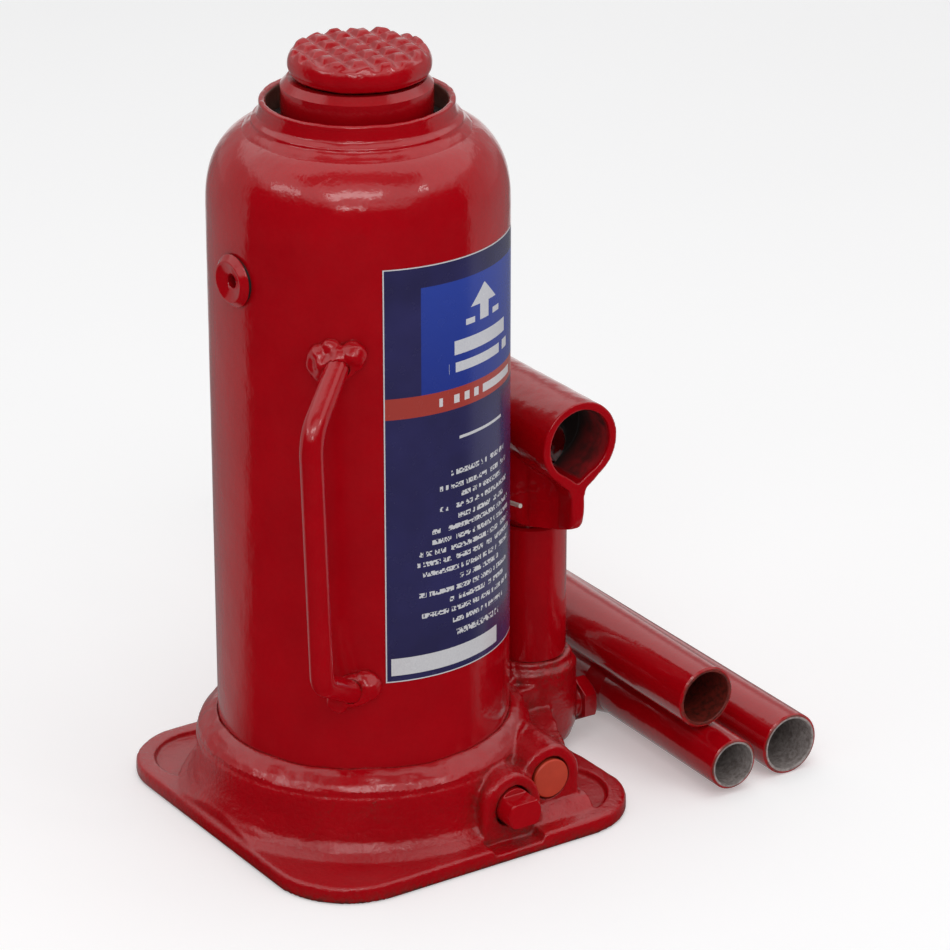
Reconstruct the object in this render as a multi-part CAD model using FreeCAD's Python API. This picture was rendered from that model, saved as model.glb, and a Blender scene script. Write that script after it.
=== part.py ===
import FreeCAD, Part
import math
import os
from FreeCAD import Placement, Rotation, Vector

# Hydraulic bottle jack with its three-piece pumping handle, in millimetres.
# The origin is the underside of the base plate on the lifting axis, with +Z up.
# The front (-Y) carries two valve bosses, the pump stands at +X and the filler plug is at -X.

SEAM = 0.02                            # hairline between pieces that touch
GAP = 0.05                             # running clearance on a radius

# Base casting
PLATE_X0, PLATE_X1, PLATE_Y, PLATE_T = -54.4, 64.9, 62.5, 5.5
PLATE_CORNER_R = 22.0
POCKET_R, POCKET_INSET = 17.5, 23.0    # corner pockets, and their centres from the plate edges
FLOOR_Z = 21.5                         # floor that the reservoir tube stands on
RING_R, RING_TOP = 51.3, 24.0          # ring around the tube foot
WELD_TOP = 30.2

# Reservoir tube and filler plug
TANK_R, TANK_WALL = 44.45, 2.5
TANK_BORE_R = TANK_R - TANK_WALL
FILL_AZIMUTH, FILL_Z = 184.9, 178.4

# Hydraulic cylinder and head
CYL_BORE_R, CYL_R = 25.05, 29.5
CYL_BOTTOM, CYL_TOP = 12.0, 213.4
CYL_SEAT_Z = CYL_BOTTOM - 1.5
HEAD_TOP = 224.65
SEAL_SEAT_Z, RETAINER_SEAT_Z = 213.0, 215.7

# Ram, extension screw and saddle
RAM_R, RAM_TOP = 22.2, 230.8
STUD_R = 9.9                           # reduced lower end of the ram
PISTON_R, PISTON_TOP = CYL_BORE_R - GAP, 30.0
STACK_BORE_R = STUD_R + GAP            # bore of the pieces threaded on the stud
SCREW_R, SCREW_BOTTOM, SCREW_PITCH = 16.0, 118.0, 4.0
SCREW_ROOT_R = SCREW_R - 1.1
SPIGOT_R, SPIGOT_TOP = 9.0, 237.0      # end of the screw inside the saddle
SADDLE_R, SADDLE_BOTTOM, SADDLE_TOP = 20.7, 231.5, 240.2
SADDLE_X, SADDLE_Y = 0.7, -0.45        # the cast pad sits a little off its bore
SADDLE_GRID, SADDLE_TURN = 6.5, -8.0   # groove spacing and turn in degrees

# Pump
PUMP_X = 61.0
PUMP_R, PUMP_SHOULDER, PUMP_TOP = 11.5, 78.6, 81.6
PUMP_SEAT_Z, PUMP_BOTTOM, BOSS_TOP = 14.0, 14.6, 33.7
WIPER_SEAT_Z = PUMP_TOP - 6.0
PLUNGER_R = 6.0

# Rocker, link plates and pins, with the pump at the bottom of its stroke
PIN_R = 4.0
PLUNGER_PIN_Z = 89.0
FULCRUM_Y, FULCRUM_Z = 19.5, 93.2
LINK_Y, LINK_Z = 19.5, 22.0            # lower pin of the link plates
PLATE_LUG_HALF = 6.0                   # half width of the lug between the link plates
SOCKET_R, SOCKET_BORE_R, SOCKET_Z = 13.3, 10.8, 111.4
SOCKET_Y0, SOCKET_Y1 = -27.0, 31.0
SOCKET_SEAT = 16.6                     # length of the fitted bore behind the mouth
SKIRT_Z = 78.6                         # lowest edge of the rocker skirt, at its nose

# Valves
REL_X, REL_Y, REL_Z = 17.3, -56.0, 14.4        # release valve boss
OVL_X, OVL_Y, OVL_Z = 33.6, -52.0, 17.4        # overload valve boss
SUCTION_Y, SUCTION_PLUG_Z, SUCTION_Z = -3.0, 12.6, 10.9
O_RING_Y = REL_Y + 12

# Carrying handle, label and pumping handle
ROD_R = 3.5
LABEL_AZIMUTHS, LABEL_Z0, LABEL_Z1 = (-113.5, -40.0), 58.4, 187.3
TUBE_L, TUBE_R, TUBE_BORE_R = 225.0, 10.0, 8.4


# ---------------------------------------------------------------- helpers
def cyl_z(radius, z0, z1, x=0.0, y=0.0):
    return Part.makeCylinder(radius, z1 - z0, Vector(x, y, z0), Vector(0, 0, 1))


def cyl_x(radius, x0, x1, y, z):
    return Part.makeCylinder(radius, x1 - x0, Vector(x0, y, z), Vector(1, 0, 0))


def cyl_y(radius, y0, y1, x, z):
    return Part.makeCylinder(radius, y1 - y0, Vector(x, y0, z), Vector(0, 1, 0))


def box(x0, x1, y0, y1, z0, z1):
    return Part.makeBox(x1 - x0, y1 - y0, z1 - z0, Vector(x0, y0, z0))


def face(corners):
    return Part.Face(Part.makePolygon(corners + [corners[0]]))


def revolve(profile, x=0.0, y=0.0):
    """Turn a profile of (radius, z) about the vertical through (x, y)."""
    section = face([Vector(x + r, y, z) for r, z in profile])
    return section.revolve(Vector(x, y, 0), Vector(0, 0, 1), 360)


def aim(shape, start, direction):
    """Move a shape built on +Z so that its axis starts at start and follows direction."""
    shape.Placement = Placement(Vector(*start), Rotation(Vector(0, 0, 1), Vector(*direction)))
    return shape


def prism_z(outline, z0, z1):
    """Extrude an outline of (x, y) along Z."""
    return face([Vector(x, y, z0) for x, y in outline]).extrude(Vector(0, 0, z1 - z0))


def prism_x(outline, x0, x1):
    """Extrude an outline of (y, z) along X."""
    return face([Vector(x0, y, z) for y, z in outline]).extrude(Vector(x1 - x0, 0, 0))


def prism_y(outline, y0, y1):
    """Extrude an outline of (x, z) along Y."""
    return face([Vector(x, y0, z) for x, z in outline]).extrude(Vector(0, y1 - y0, 0))


def hex_prism(across_flats, height):
    radius = across_flats / math.sqrt(3)
    return prism_z(arc_points(0, 0, radius, 0, 360, 6)[:-1], 0, height)


def arc_points(x, y, radius, start, end, steps=10):
    angles = [math.radians(start + (end - start) * k / steps) for k in range(steps + 1)]
    return [(x + radius * math.cos(a), y + radius * math.sin(a)) for a in angles]


def shift(points, dx, dy):
    return [(dx + x, dy + y) for x, y in points]


def polar(radius, azimuth, z):
    angle = math.radians(azimuth)
    return Vector(radius * math.cos(angle), radius * math.sin(angle), z)


def fuse(first, *others):
    return first.fuse(list(others)).removeSplitter()


def cut(shape, *tools):
    return shape.cut(list(tools))


def largest(shape):
    return max(shape.Solids, key=lambda solid: solid.Volume)


def try_fillet(shape, radius, wanted):
    """Round the wanted edges, or return the shape as it was if the fillet fails."""
    edges = [edge for edge in shape.Edges if wanted(edge.BoundBox)]
    if not edges:
        return shape
    # Guards against the kernel refusing a fillet on the short edges of these outlines.
    try:
        rounded = shape.makeFillet(radius, edges)
        if rounded.isValid() and rounded.Volume > 0:
            return rounded
    except Exception:
        pass
    return shape


def save(name, *shapes):
    solids = [solid for shape in shapes for solid in shape.Solids]
    piece = solids[0] if len(solids) == 1 else Part.makeCompound(solids)
    piece.exportStep(os.path.join("parts", name + ".step"))


os.makedirs("parts", exist_ok=True)


# ---------------------------------------------------------------- base casting
def plate_outline(inset=0.0):
    """Outline (x, y) with rounded corners and a slightly hollow +X edge."""
    x0, x1, y = PLATE_X0 + inset, PLATE_X1 - inset, PLATE_Y - inset
    corner = PLATE_CORNER_R - inset
    full_corner = corner + 3.0                 # the front-left corner is a little fuller
    pump_edge = [(-0.6, -26), (-1.6, -12), (-2.0, 0), (-1.6, 12), (-0.6, 26)]
    return (arc_points(x1 - corner, -y + corner, corner, -90, -8)
            + shift(pump_edge, x1, 0)
            + arc_points(x1 - corner, y - corner, corner, 8, 90)
            + arc_points(x0 + corner, y - corner, corner, 90, 180)
            + arc_points(x0 + full_corner, -y + full_corner, full_corner, 180, 270))


def base_foot():
    """Ring with its flared foot, kept inside the plate outline."""
    ring = revolve([
        (0, 0.8), (57.5, 0.8), (57.5, PLATE_T), (54.4, PLATE_T + 1.8), (52.6, PLATE_T + 4.4),
        (51.6, PLATE_T + 8.5), (RING_R, 16.0), (RING_R, RING_TOP - 0.8),
        (RING_R - 0.8, RING_TOP), (0, RING_TOP)])
    return ring.common(prism_z(plate_outline(1.4), 0.0, 40))


def pump_boss():
    """Round boss and the two webs that join it to the ring."""
    boss = revolve([
        (0, 2.2), (10.2, 2.2), (13.4, 5.0), (14.8, 9.0), (14.8, 29.6), (14.0, 31.0),
        (13.2, 31.4), (13.2, 33.0), (12.4, BOSS_TOP), (0, BOSS_TOP)], PUMP_X)
    low_web = prism_z([(38, -14.0), (60, -13.6), (60, 13.6), (38, 14.0)], 3.0, 27.0)
    high_web = prism_y([(42, 20), (60, 20), (60, 31.0), (50, 30.0), (42, 27)], -9.5, 9.5)
    return [boss, low_web, high_web]


def valve_boss(x, z, radius, front, back, foot_z):
    """Arch standing out of the front of the ring, wider at its foot."""
    draft = 1.2
    outline = ([(x - radius - draft, foot_z)] + arc_points(x, z, radius, 180, 0, 12)
               + [(x + radius + draft, foot_z)])
    return try_fillet(
        prism_y(outline, front, back), 1.6,
        lambda bounds: abs(bounds.YMin - front) < 1e-3 and abs(bounds.YMax - front) < 1e-3
        and bounds.ZMax > foot_z + 0.5)


def front_bosses():
    """Valve bosses, the ledge below them and the bridge to the pump boss."""
    ledge = prism_x([(-61.0, 1.0), (-61.0, 3.4), (-57.0, 5.4), (-52.8, 9.2),
                     (-40, 10.5), (-40, 1.0)], 20.0, 46.5)
    bridge = prism_z([(42, -14), (60, -13), (52, -30), (45, -44), (33, -44), (33, -20)],
                     3.0, 19.5)
    return [valve_boss(REL_X, REL_Z, 10.3, REL_Y, -30, 1.5),
            valve_boss(OVL_X, OVL_Z, 10.6, OVL_Y, -26, 2.0), ledge, bridge]


def link_lug():
    """Lug for the link plates behind the pump."""
    return prism_x([
        (10, 3.0), (LINK_Y + 7.5, 3.0), (LINK_Y + 7.5, LINK_Z), (LINK_Y + 5.3, LINK_Z + 5.3),
        (LINK_Y, LINK_Z + 7.5), (LINK_Y - 5.3, LINK_Z + 5.6), (10, 29.0)],
        PUMP_X - PLATE_LUG_HALF, PUMP_X + PLATE_LUG_HALF)


def corner_pockets():
    """Shallow pockets at the back-left and front-right corners, clear of what stands there."""
    standing = fuse(
        cyl_z(57.0, 0, 30), box(18, 47.0, -61.0, -38, 0, 30), cyl_z(19, 0, 40, PUMP_X),
        prism_z([(42, -14), (60, -13), (53, -30), (46, -44), (33, -44), (33, -20)], 0, 30))
    centres = [(PLATE_X0 + POCKET_INSET, PLATE_Y - POCKET_INSET),
               (PLATE_X1 - POCKET_INSET, -(PLATE_Y - POCKET_INSET))]
    return [cyl_z(POCKET_R, PLATE_T - 1.5, PLATE_T + 0.6, x, y).cut(standing)
            for x, y in centres]


def link_clearances():
    """Room beside the lug for the two link plates and the lower pin's head."""
    inner, outer = PLATE_LUG_HALF, 9.9
    return [box(PUMP_X - outer, PUMP_X - inner, 12.4, 30, 14.6, 40),
            box(PUMP_X + inner, PUMP_X + outer, 12.4, 30, 14.6, 40),
            box(PUMP_X - 11.3, PUMP_X - 9.0, LINK_Y - 6.3, LINK_Y + 6.3, LINK_Z - 6.3, 40)]


def machined_bores():
    tube_seat_r = TANK_R + 0.08
    return [
        # hydraulic cylinder seat, tube seat and the floor between them
        cyl_z(CYL_R + 0.1, CYL_SEAT_Z, 60),
        revolve([(TANK_BORE_R - 0.2, FLOOR_Z), (tube_seat_r, FLOOR_Z),
                 (tube_seat_r, 60), (TANK_BORE_R - 0.2, 60)]),
        revolve([(CYL_R, FLOOR_Z), (TANK_R - 1, FLOOR_Z), (TANK_R - 1, 60), (CYL_R, 60)]),
        # pump socket, its port and the passage to the lifting axis
        cyl_z(10.05, PUMP_SEAT_Z, 50, PUMP_X),
        cyl_z(3.0, 8.0, 16.0, PUMP_X),
        cyl_x(1.8, 0.0, PUMP_X, 0.0, 6.0),
        cyl_z(3.0, 5.0, 14.0),
        # suction passage, ball chamber and plug thread
        cyl_x(1.3, PUMP_X, PUMP_X + 6.0, SUCTION_Y, SUCTION_Z),
        cyl_x(2.75, PUMP_X + 5.0, PUMP_X + 11.0, SUCTION_Y, SUCTION_Z),
        cyl_x(5.05, PUMP_X + 10.6, 90, SUCTION_Y, SUCTION_PLUG_Z),
        # release valve: mouth, bore, inner end and drilling
        cyl_y(6.25, -60, REL_Y + 6.0, REL_X, REL_Z),
        cyl_y(4.95, REL_Y + 4.0, -34.0, REL_X, REL_Z),
        cyl_y(3.0, -34.6, -31.0, REL_X, REL_Z),
        cyl_z(1.5, 6.0, REL_Z, REL_X, -32.0),
        # overload valve: mouth, bore, inner end and drilling
        cyl_y(6.6, -60, OVL_Y + 3.5, OVL_X, OVL_Z),
        cyl_y(3.95, OVL_Y + 3.0, -33.0, OVL_X, OVL_Z),
        cyl_y(2.0, -33.6, -30.0, OVL_X, OVL_Z),
        cyl_z(1.4, 6.0, OVL_Z, OVL_X, -31.2),
        # lower pin of the link plates
        cyl_x(PIN_R + GAP, 40, 80, LINK_Y, LINK_Z)]


def weld_slope(clearance):
    """Outer face (radius, z) of the weld bead, from the ring up to the tube."""
    return [(RING_R - 0.4 + clearance, RING_TOP + 0.9), (49.2 + clearance, 27.2 + clearance),
            (47.0 + clearance, 29.2 + clearance), (45.2 + clearance, WELD_TOP + clearance)]


def base():
    plate = try_fillet(prism_z(plate_outline(), 0, PLATE_T), 1.4,
                       lambda bounds: bounds.ZLength < 1e-3)
    casting = plate.fuse(base_foot())
    casting = casting.fuse(pump_boss())
    casting = casting.fuse(front_bosses())
    casting = casting.fuse([link_lug()]).removeSplitter()
    casting = cut(casting, *corner_pockets())
    # scallop in the plate before the release valve
    casting = cut(casting, prism_y([(5.0, 8.0), (7.0, 3.3), (24.0, 3.3), (26.0, 8.0)],
                                   -70, REL_Y - SEAM))
    casting = cut(casting, *link_clearances())
    casting = cut(casting, *machined_bores())
    casting = cut(casting, revolve([(TANK_R, RING_TOP), (RING_R - 1.0, RING_TOP)]
                                   + weld_slope(SEAM) + [(TANK_R, WELD_TOP + SEAM)]))
    return largest(casting)


save("base", base())
save("base_weld_bead", revolve(
    [(TANK_R + 0.1, RING_TOP + SEAM), (RING_R - 1.0, RING_TOP + SEAM)]
    + weld_slope(0) + [(TANK_R + SEAM, WELD_TOP)]))

# ---------------------------------------------------------------- reservoir tube and filler
# Spun shoulder (radius, z): outside going up, inside coming down.
SHOULDER_OUTER = [
    (TANK_R, 193.18), (44.26, 197.87), (43.71, 201.55), (42.82, 204.78), (41.64, 207.62),
    (40.2, 210.06), (38.55, 212.08), (36.85, 213.66), (35.25, 214.79), (33.6, 215.6),
    (29.7, 215.6)]
SHOULDER_INNER = [
    (29.7, 213.0), (32.2, 212.5), (33.8, 211.6), (35.6, 210.0), (37.3, 208.1), (38.8, 205.8),
    (40.1, 203.0), (41.1, 200.0), (41.7, 196.6), (TANK_BORE_R, 193.0)]
FILL_DIRECTION = polar(1, FILL_AZIMUTH, 0)


def filler_cylinder(radius, length, start):
    """Cylinder on the filler axis, starting at a distance from the lifting axis."""
    return Part.makeCylinder(radius, length, polar(start, FILL_AZIMUTH, FILL_Z), FILL_DIRECTION)


tube = revolve([(TANK_R, FLOOR_Z + SEAM)] + SHOULDER_OUTER + SHOULDER_INNER
               + [(TANK_BORE_R, FLOOR_Z + SEAM)])
save("reservoir_tube", cut(tube, filler_cylinder(5.05, 20, 35)))

save("filler_seal", filler_cylinder(7.3, 2.03, TANK_R - 1.6)
     .cut(cyl_z(TANK_R + 0.03, 150, 200)).cut(filler_cylinder(4.6, 30, 30)))

# stem, chamfered flange and centre dimple
save("filler_plug", aim(revolve([
    (0, -7.0), (4.0, -7.0), (4.5, -6.0), (4.5, 0.45), (7.7, 0.45), (7.9, 0.75), (6.1, 2.6),
    (5.6, 2.55), (2.6, 1.5), (2.0, 1.1), (1.8, -1.6), (0, -1.6)]),
    polar(TANK_R, FILL_AZIMUTH, FILL_Z), FILL_DIRECTION))


# ---------------------------------------------------------------- cylinder and head
def sleeve(inner_r, outer_r, z0, z1, x=0.0):
    return revolve([(inner_r, z0), (outer_r, z0), (outer_r, z1), (inner_r, z1)], x)


save("cylinder_gasket", sleeve(CYL_BORE_R + 0.4, CYL_R - 0.1,
                               CYL_SEAT_Z + SEAM, CYL_BOTTOM - SEAM))
save("hydraulic_cylinder", sleeve(CYL_BORE_R, CYL_R, CYL_BOTTOM, CYL_TOP))

nut_bore_r = RAM_R + 0.06
save("head_nut", revolve([
    (nut_bore_r, 190.0), (CYL_BORE_R - GAP, 190.0), (CYL_BORE_R - GAP, 214.2), (29.4, 214.2),
    (29.4, 215.62), (33.4, 215.62), (33.0, 216.2), (32.2, 216.9), (31.4, 217.6),
    (30.9, 218.2), (30.7, 218.9), (29.9, 219.3), (29.1, 220.1), (28.7, 221.3),
    (28.5, 223.6), (27.95, HEAD_TOP), (26.9, HEAD_TOP), (26.3, 224.0),
    (26.3, RETAINER_SEAT_Z), (24.25, RETAINER_SEAT_Z), (24.25, SEAL_SEAT_Z),
    (nut_bore_r, SEAL_SEAT_Z)]))
save("ram_seal", revolve([
    (RAM_R + 0.04, SEAL_SEAT_Z + SEAM), (24.2, SEAL_SEAT_Z + SEAM), (24.2, 215.66),
    (23.1, 215.66), (22.8, 217.8), (RAM_R + 0.04, 218.2)]))
save("seal_retaining_ring", revolve([
    (23.2, RETAINER_SEAT_Z + SEAM), (26.25, RETAINER_SEAT_Z + SEAM), (26.25, 217.1),
    (25.9, 217.4), (23.4, 217.4)]))
save("head_gasket", sleeve(25.2, 29.4, CYL_TOP + SEAM, 214.2 - SEAM))

# ---------------------------------------------------------------- ram and piston stack
save("ram", revolve([
    (0, 13.2), (STUD_R, 13.2), (STUD_R, PISTON_TOP), (RAM_R - 0.8, PISTON_TOP),
    (RAM_R, PISTON_TOP + 0.8), (RAM_R, 228.7), (RAM_R - 1.9, RAM_TOP), (17.6, RAM_TOP),
    (SCREW_R + GAP, 229.4), (SCREW_R + GAP, 104.0), (0, 96.0)]))
save("piston", revolve([
    (STACK_BORE_R, 24.5), (24.95, 24.5), (PISTON_R, 25.5), (PISTON_R, 28.9),
    (24.6, PISTON_TOP - SEAM), (STACK_BORE_R, PISTON_TOP - SEAM)]))
save("piston_cup_seal", revolve([
    (STACK_BORE_R, 19.7), (22.6, 19.7), (23.6, 18.9), (PISTON_R, 18.9), (PISTON_R, 24.2),
    (24.0, 24.5 - SEAM), (STACK_BORE_R, 24.5 - SEAM)]))
save("piston_washer", sleeve(STACK_BORE_R, 21.5, 17.9, 19.7 - SEAM))

piston_nut = hex_prism(across_flats=27.0, height=4.2)
piston_nut.Placement = Placement(Vector(0, 0, 13.6), Rotation())
save("piston_nut", cut(piston_nut, cyl_z(STACK_BORE_R, 10, 20)))


# ---------------------------------------------------------------- extension screw and saddle
def extension_screw():
    """Screw whose thread turns are parallel grooves."""
    profile = [(0, SCREW_BOTTOM), (SCREW_R - 2.2, SCREW_BOTTOM),
               (SCREW_ROOT_R, SCREW_BOTTOM + 1.2)]
    z = SCREW_BOTTOM + 2.0
    while z + SCREW_PITCH < 226.0:
        profile += [(SCREW_ROOT_R, z), (SCREW_R, z + 1.2),
                    (SCREW_R, z + 2.2), (SCREW_ROOT_R, z + 3.4)]
        z += SCREW_PITCH
    profile += [(SCREW_ROOT_R, z), (SCREW_R, z + 1.0), (SCREW_R, 231.4), (SPIGOT_R, 231.4),
                (SPIGOT_R, SPIGOT_TOP), (0, SPIGOT_TOP)]
    return revolve(profile)


def saddle():
    """Barrel-sided pad with a grid of truncated square pyramids."""
    pad = revolve([
        (18.6, SADDLE_BOTTOM), (20.0, SADDLE_BOTTOM + 0.9), (SADDLE_R, SADDLE_BOTTOM + 2.8),
        (SADDLE_R, SADDLE_BOTTOM + 4.8), (20.1, SADDLE_BOTTOM + 6.6),
        (19.4, SADDLE_TOP - 1.1), (18.6, SADDLE_TOP), (0, SADDLE_TOP), (0, SADDLE_BOTTOM)],
        SADDLE_X, SADDLE_Y)
    pad = cut(pad, cyl_z(SPIGOT_R + 0.03, 220.0, SPIGOT_TOP + 0.03))
    groove = [(-2.62, 0.05), (-1.0, -1.7), (1.0, -1.7), (2.62, 0.05)]
    grooves = []
    for k in range(-3, 4):
        outline = shift(groove, (k + 0.5) * SADDLE_GRID, SADDLE_TOP)
        for tool in (prism_y(outline, -30, 30), prism_x(outline, -30, 30)):
            tool.rotate(Vector(0, 0, 0), Vector(0, 0, 1), SADDLE_TURN)
            tool.translate(Vector(SADDLE_X, SADDLE_Y, 0))
            grooves.append(tool)
    return pad.cut(grooves)


save("extension_screw", extension_screw())
save("saddle", saddle())

# ---------------------------------------------------------------- pump
pump_bore_r = PLUNGER_R + 0.06
save("pump_cylinder", revolve([
    (pump_bore_r, PUMP_BOTTOM), (10.0, PUMP_BOTTOM), (10.0, BOSS_TOP + SEAM),
    (PUMP_R, BOSS_TOP + SEAM), (PUMP_R, PUMP_SHOULDER - 0.8), (PUMP_R - 0.8, PUMP_SHOULDER),
    (9.8, PUMP_SHOULDER), (9.8, PUMP_TOP - 0.4), (9.4, PUMP_TOP), (8.3, PUMP_TOP),
    (8.3, WIPER_SEAT_Z), (pump_bore_r, WIPER_SEAT_Z)], PUMP_X))
save("pump_gasket", sleeve(4.0, 9.9, PUMP_SEAT_Z + SEAM, PUMP_BOTTOM - SEAM, PUMP_X))
save("pump_wiper_seal", revolve([
    (PLUNGER_R + 0.04, WIPER_SEAT_Z + SEAM), (8.25, WIPER_SEAT_Z + SEAM),
    (8.25, PUMP_TOP - 0.6), (PLUNGER_R + 0.04, PUMP_TOP - 0.2)], PUMP_X))
plunger = revolve([
    (0, 20.0), (4.2, 20.0), (4.2, 26.0), (PLUNGER_R, 26.2), (PLUNGER_R, 82.2), (6.4, 82.7),
    (8.0, 83.2), (8.0, 93.2), (6.6, 95.4), (4.6, 96.6), (0, 97.0)], PUMP_X)
save("pump_plunger", cut(plunger, cyl_x(PIN_R + SEAM, 40, 80, 0, PLUNGER_PIN_Z)))
save("plunger_cup_seal", revolve([
    (4.24, 20.6), (5.2, 20.2), (PLUNGER_R + SEAM, 20.2), (PLUNGER_R + SEAM, 25.6),
    (4.24, 25.8)], PUMP_X))


# ---------------------------------------------------------------- rocker with handle socket
FLANGE = (-2.9, 1.7)                   # X of the flange sides from the pump axis
ROCKER_X = (PUMP_X - 30, PUMP_X + 30)  # span of the cutters that cross the rocker
HOLE_X = (30, 90)                      # span of the pin hole cutters


def nose_points(radius):
    """Half circle round the front of the pump axis."""
    return arc_points(PUMP_X, 0, radius, 180, 360, 14)


def rocker_skirt():
    skirt = prism_z(nose_points(SOCKET_R) + [(PUMP_X + SOCKET_R, SOCKET_Y1 - 2),
                                             (PUMP_X - SOCKET_R, SOCKET_Y1 - 2)],
                    SKIRT_Z, SOCKET_Z)
    return cut(skirt, prism_x([
        (-20, 70), (-20, SKIRT_Z), (-14.0, 78.9), (-11.3, 80.2), (-7.0, 81.8), (0, 82.3),
        (60, 82.3), (60, 70)], *ROCKER_X))


def rocker_flange():
    """Pinched flange under the mouth, where the two edges of the sheet meet."""
    outline = [
        (SOCKET_Y0, 101), (SOCKET_Y0, 87.0), (SOCKET_Y0 + 0.5, 84.9), (SOCKET_Y0 + 1.8, 83.3),
        (SOCKET_Y0 + 3.8, 82.4), (SOCKET_Y0 + 7.0, 81.2), (SOCKET_Y0 + 11.0, 79.8),
        (-12.8, 78.9), (-11.2, 79.4), (-11.2, 101)]
    return try_fillet(
        prism_x(outline, PUMP_X + FLANGE[0], PUMP_X + FLANGE[1]), 1.2,
        lambda bounds: bounds.YMax < -12 and bounds.ZMax < 100.5 and bounds.XLength < 1e-3)


def rocker_throat():
    """Taper from the socket tube down to the flange."""
    outline = [(-9.6, -9.1), (-6.6, -12.2), (-4.0, -14.4), (FLANGE[0], -17.5),
               (FLANGE[1], -17.5), (2.4, -14.9), (5.3, -12.8), (9.8, -8.9)]
    return prism_y(shift(outline, PUMP_X, SOCKET_Z), SOCKET_Y0, -11.2)


def rocker_web():
    """Concave fillets between nose and flange."""
    outline = [(FLANGE[0], -19.5), (FLANGE[1], -19.5), (3.2, -16.6), (5.8, -14.0),
               (8.2, -10.9), (-8.2, -10.9), (-6.6, -13.7), (-4.4, -16.5)]
    return cut(prism_z(shift(outline, PUMP_X, 0), 80.6, 104), prism_x([
        (-40, 70), (-40, 81.6), (-19.5, 81.2), (-16.0, 80.6), (-11.3, 80.2), (0, 80.2),
        (0, 70)], *ROCKER_X))


def handle_socket():
    rocker = cyl_y(SOCKET_R, SOCKET_Y0, SOCKET_Y1, PUMP_X, SOCKET_Z)
    rocker = rocker.fuse([rocker_skirt(), rocker_flange(), rocker_throat(), rocker_web()])
    # fitted bore behind the mouth, relieved beyond it
    seat_end = SOCKET_Y0 + SOCKET_SEAT
    fitted = cyl_y(SOCKET_BORE_R, SOCKET_Y0 - 5, seat_end, PUMP_X, SOCKET_Z)
    relief = cyl_y(SOCKET_BORE_R + 0.4, seat_end, SOCKET_Y1 + 5, PUMP_X, SOCKET_Z)
    # cavity between the cheeks, and a tear-shaped notch below the bore
    cavity = prism_z(nose_points(SOCKET_BORE_R) + [(PUMP_X + SOCKET_BORE_R, SOCKET_Y1 + 5),
                                                   (PUMP_X - SOCKET_BORE_R, SOCKET_Y1 + 5)],
                     SKIRT_Z - 5, SOCKET_Z)
    tear = prism_y(shift([(-5.7, -9.0), (-1.3, -12.6), (-0.6, -12.9), (0.2, -12.6),
                          (4.9, -9.5), (0, -7)], PUMP_X, SOCKET_Z), SOCKET_Y0 - 1, -9.0)
    rocker = cut(rocker, fitted, relief, cavity, tear)
    # slope the lower edge of the cheeks behind the fulcrum
    rocker = cut(rocker, prism_x([
        (FULCRUM_Y + 3.0, SKIRT_Z - 6), (SOCKET_Y1 + 6, SKIRT_Z - 6), (SOCKET_Y1 + 6, 100),
        (FULCRUM_Y + 10.2, 93.5), (FULCRUM_Y + 8.6, 88.5)], *ROCKER_X))
    # slot for the plunger pin, round hole for the fulcrum pin
    slot_r, slot_travel = PIN_R + 0.24, 1.2
    slot = fuse(cyl_x(slot_r, *HOLE_X, 0.0, PLUNGER_PIN_Z),
                cyl_x(slot_r, *HOLE_X, slot_travel, PLUNGER_PIN_Z),
                box(*HOLE_X, 0.0, slot_travel, PLUNGER_PIN_Z - slot_r, PLUNGER_PIN_Z + slot_r))
    return cut(rocker, slot, cyl_x(PIN_R + SEAM, *HOLE_X, FULCRUM_Y, FULCRUM_Z))


save("handle_socket", handle_socket())


# ---------------------------------------------------------------- pins and link plates
def headed_pin(y, z, tip, shoulder, head_end, hole, head_r=5.9):
    """Pin along X with a cross hole for its split pin; X places are from the pump axis."""
    def bar(radius, *ends):
        return cyl_x(radius, PUMP_X + min(ends), PUMP_X + max(ends), y, z)
    pin = fuse(bar(PIN_R, tip, shoulder), bar(head_r, shoulder, head_end))
    return cut(pin, cyl_y(0.95, y - 9, y + 9, PUMP_X + hole, z))


def split_pin(x, y, z, leg=3.2, spread=0.66):
    """Split pin with its shank along Y, eye behind and opened legs in front."""
    wire_r, half = 0.85, 4.7
    legs_start = Vector(x, y - half + 0.3, z)
    return fuse(
        Part.makeCylinder(wire_r, 2 * half, Vector(x, y - half, z), Vector(0, 1, 0)),
        Part.makeTorus(1.55, wire_r * 0.85, Vector(x, y + half + 1.3, z), Vector(1, 0, 0)),
        Part.makeCylinder(wire_r * 0.8, leg, legs_start, Vector(0, -0.75, spread)),
        Part.makeCylinder(wire_r * 0.8, 3.0, legs_start, Vector(0, -0.6, -0.8)))


def link_plate(x0):
    x1 = x0 + 3.0
    plate = fuse(cyl_x(6.2, x0, x1, LINK_Y, LINK_Z), cyl_x(6.2, x0, x1, FULCRUM_Y, FULCRUM_Z),
                 box(x0, x1, LINK_Y - 5.0, LINK_Y + 5.0, LINK_Z, FULCRUM_Z))
    return cut(plate, cyl_x(PIN_R + GAP, *HOLE_X, LINK_Y, LINK_Z),
               cyl_x(PIN_R + GAP, *HOLE_X, FULCRUM_Y, FULCRUM_Z))


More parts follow.
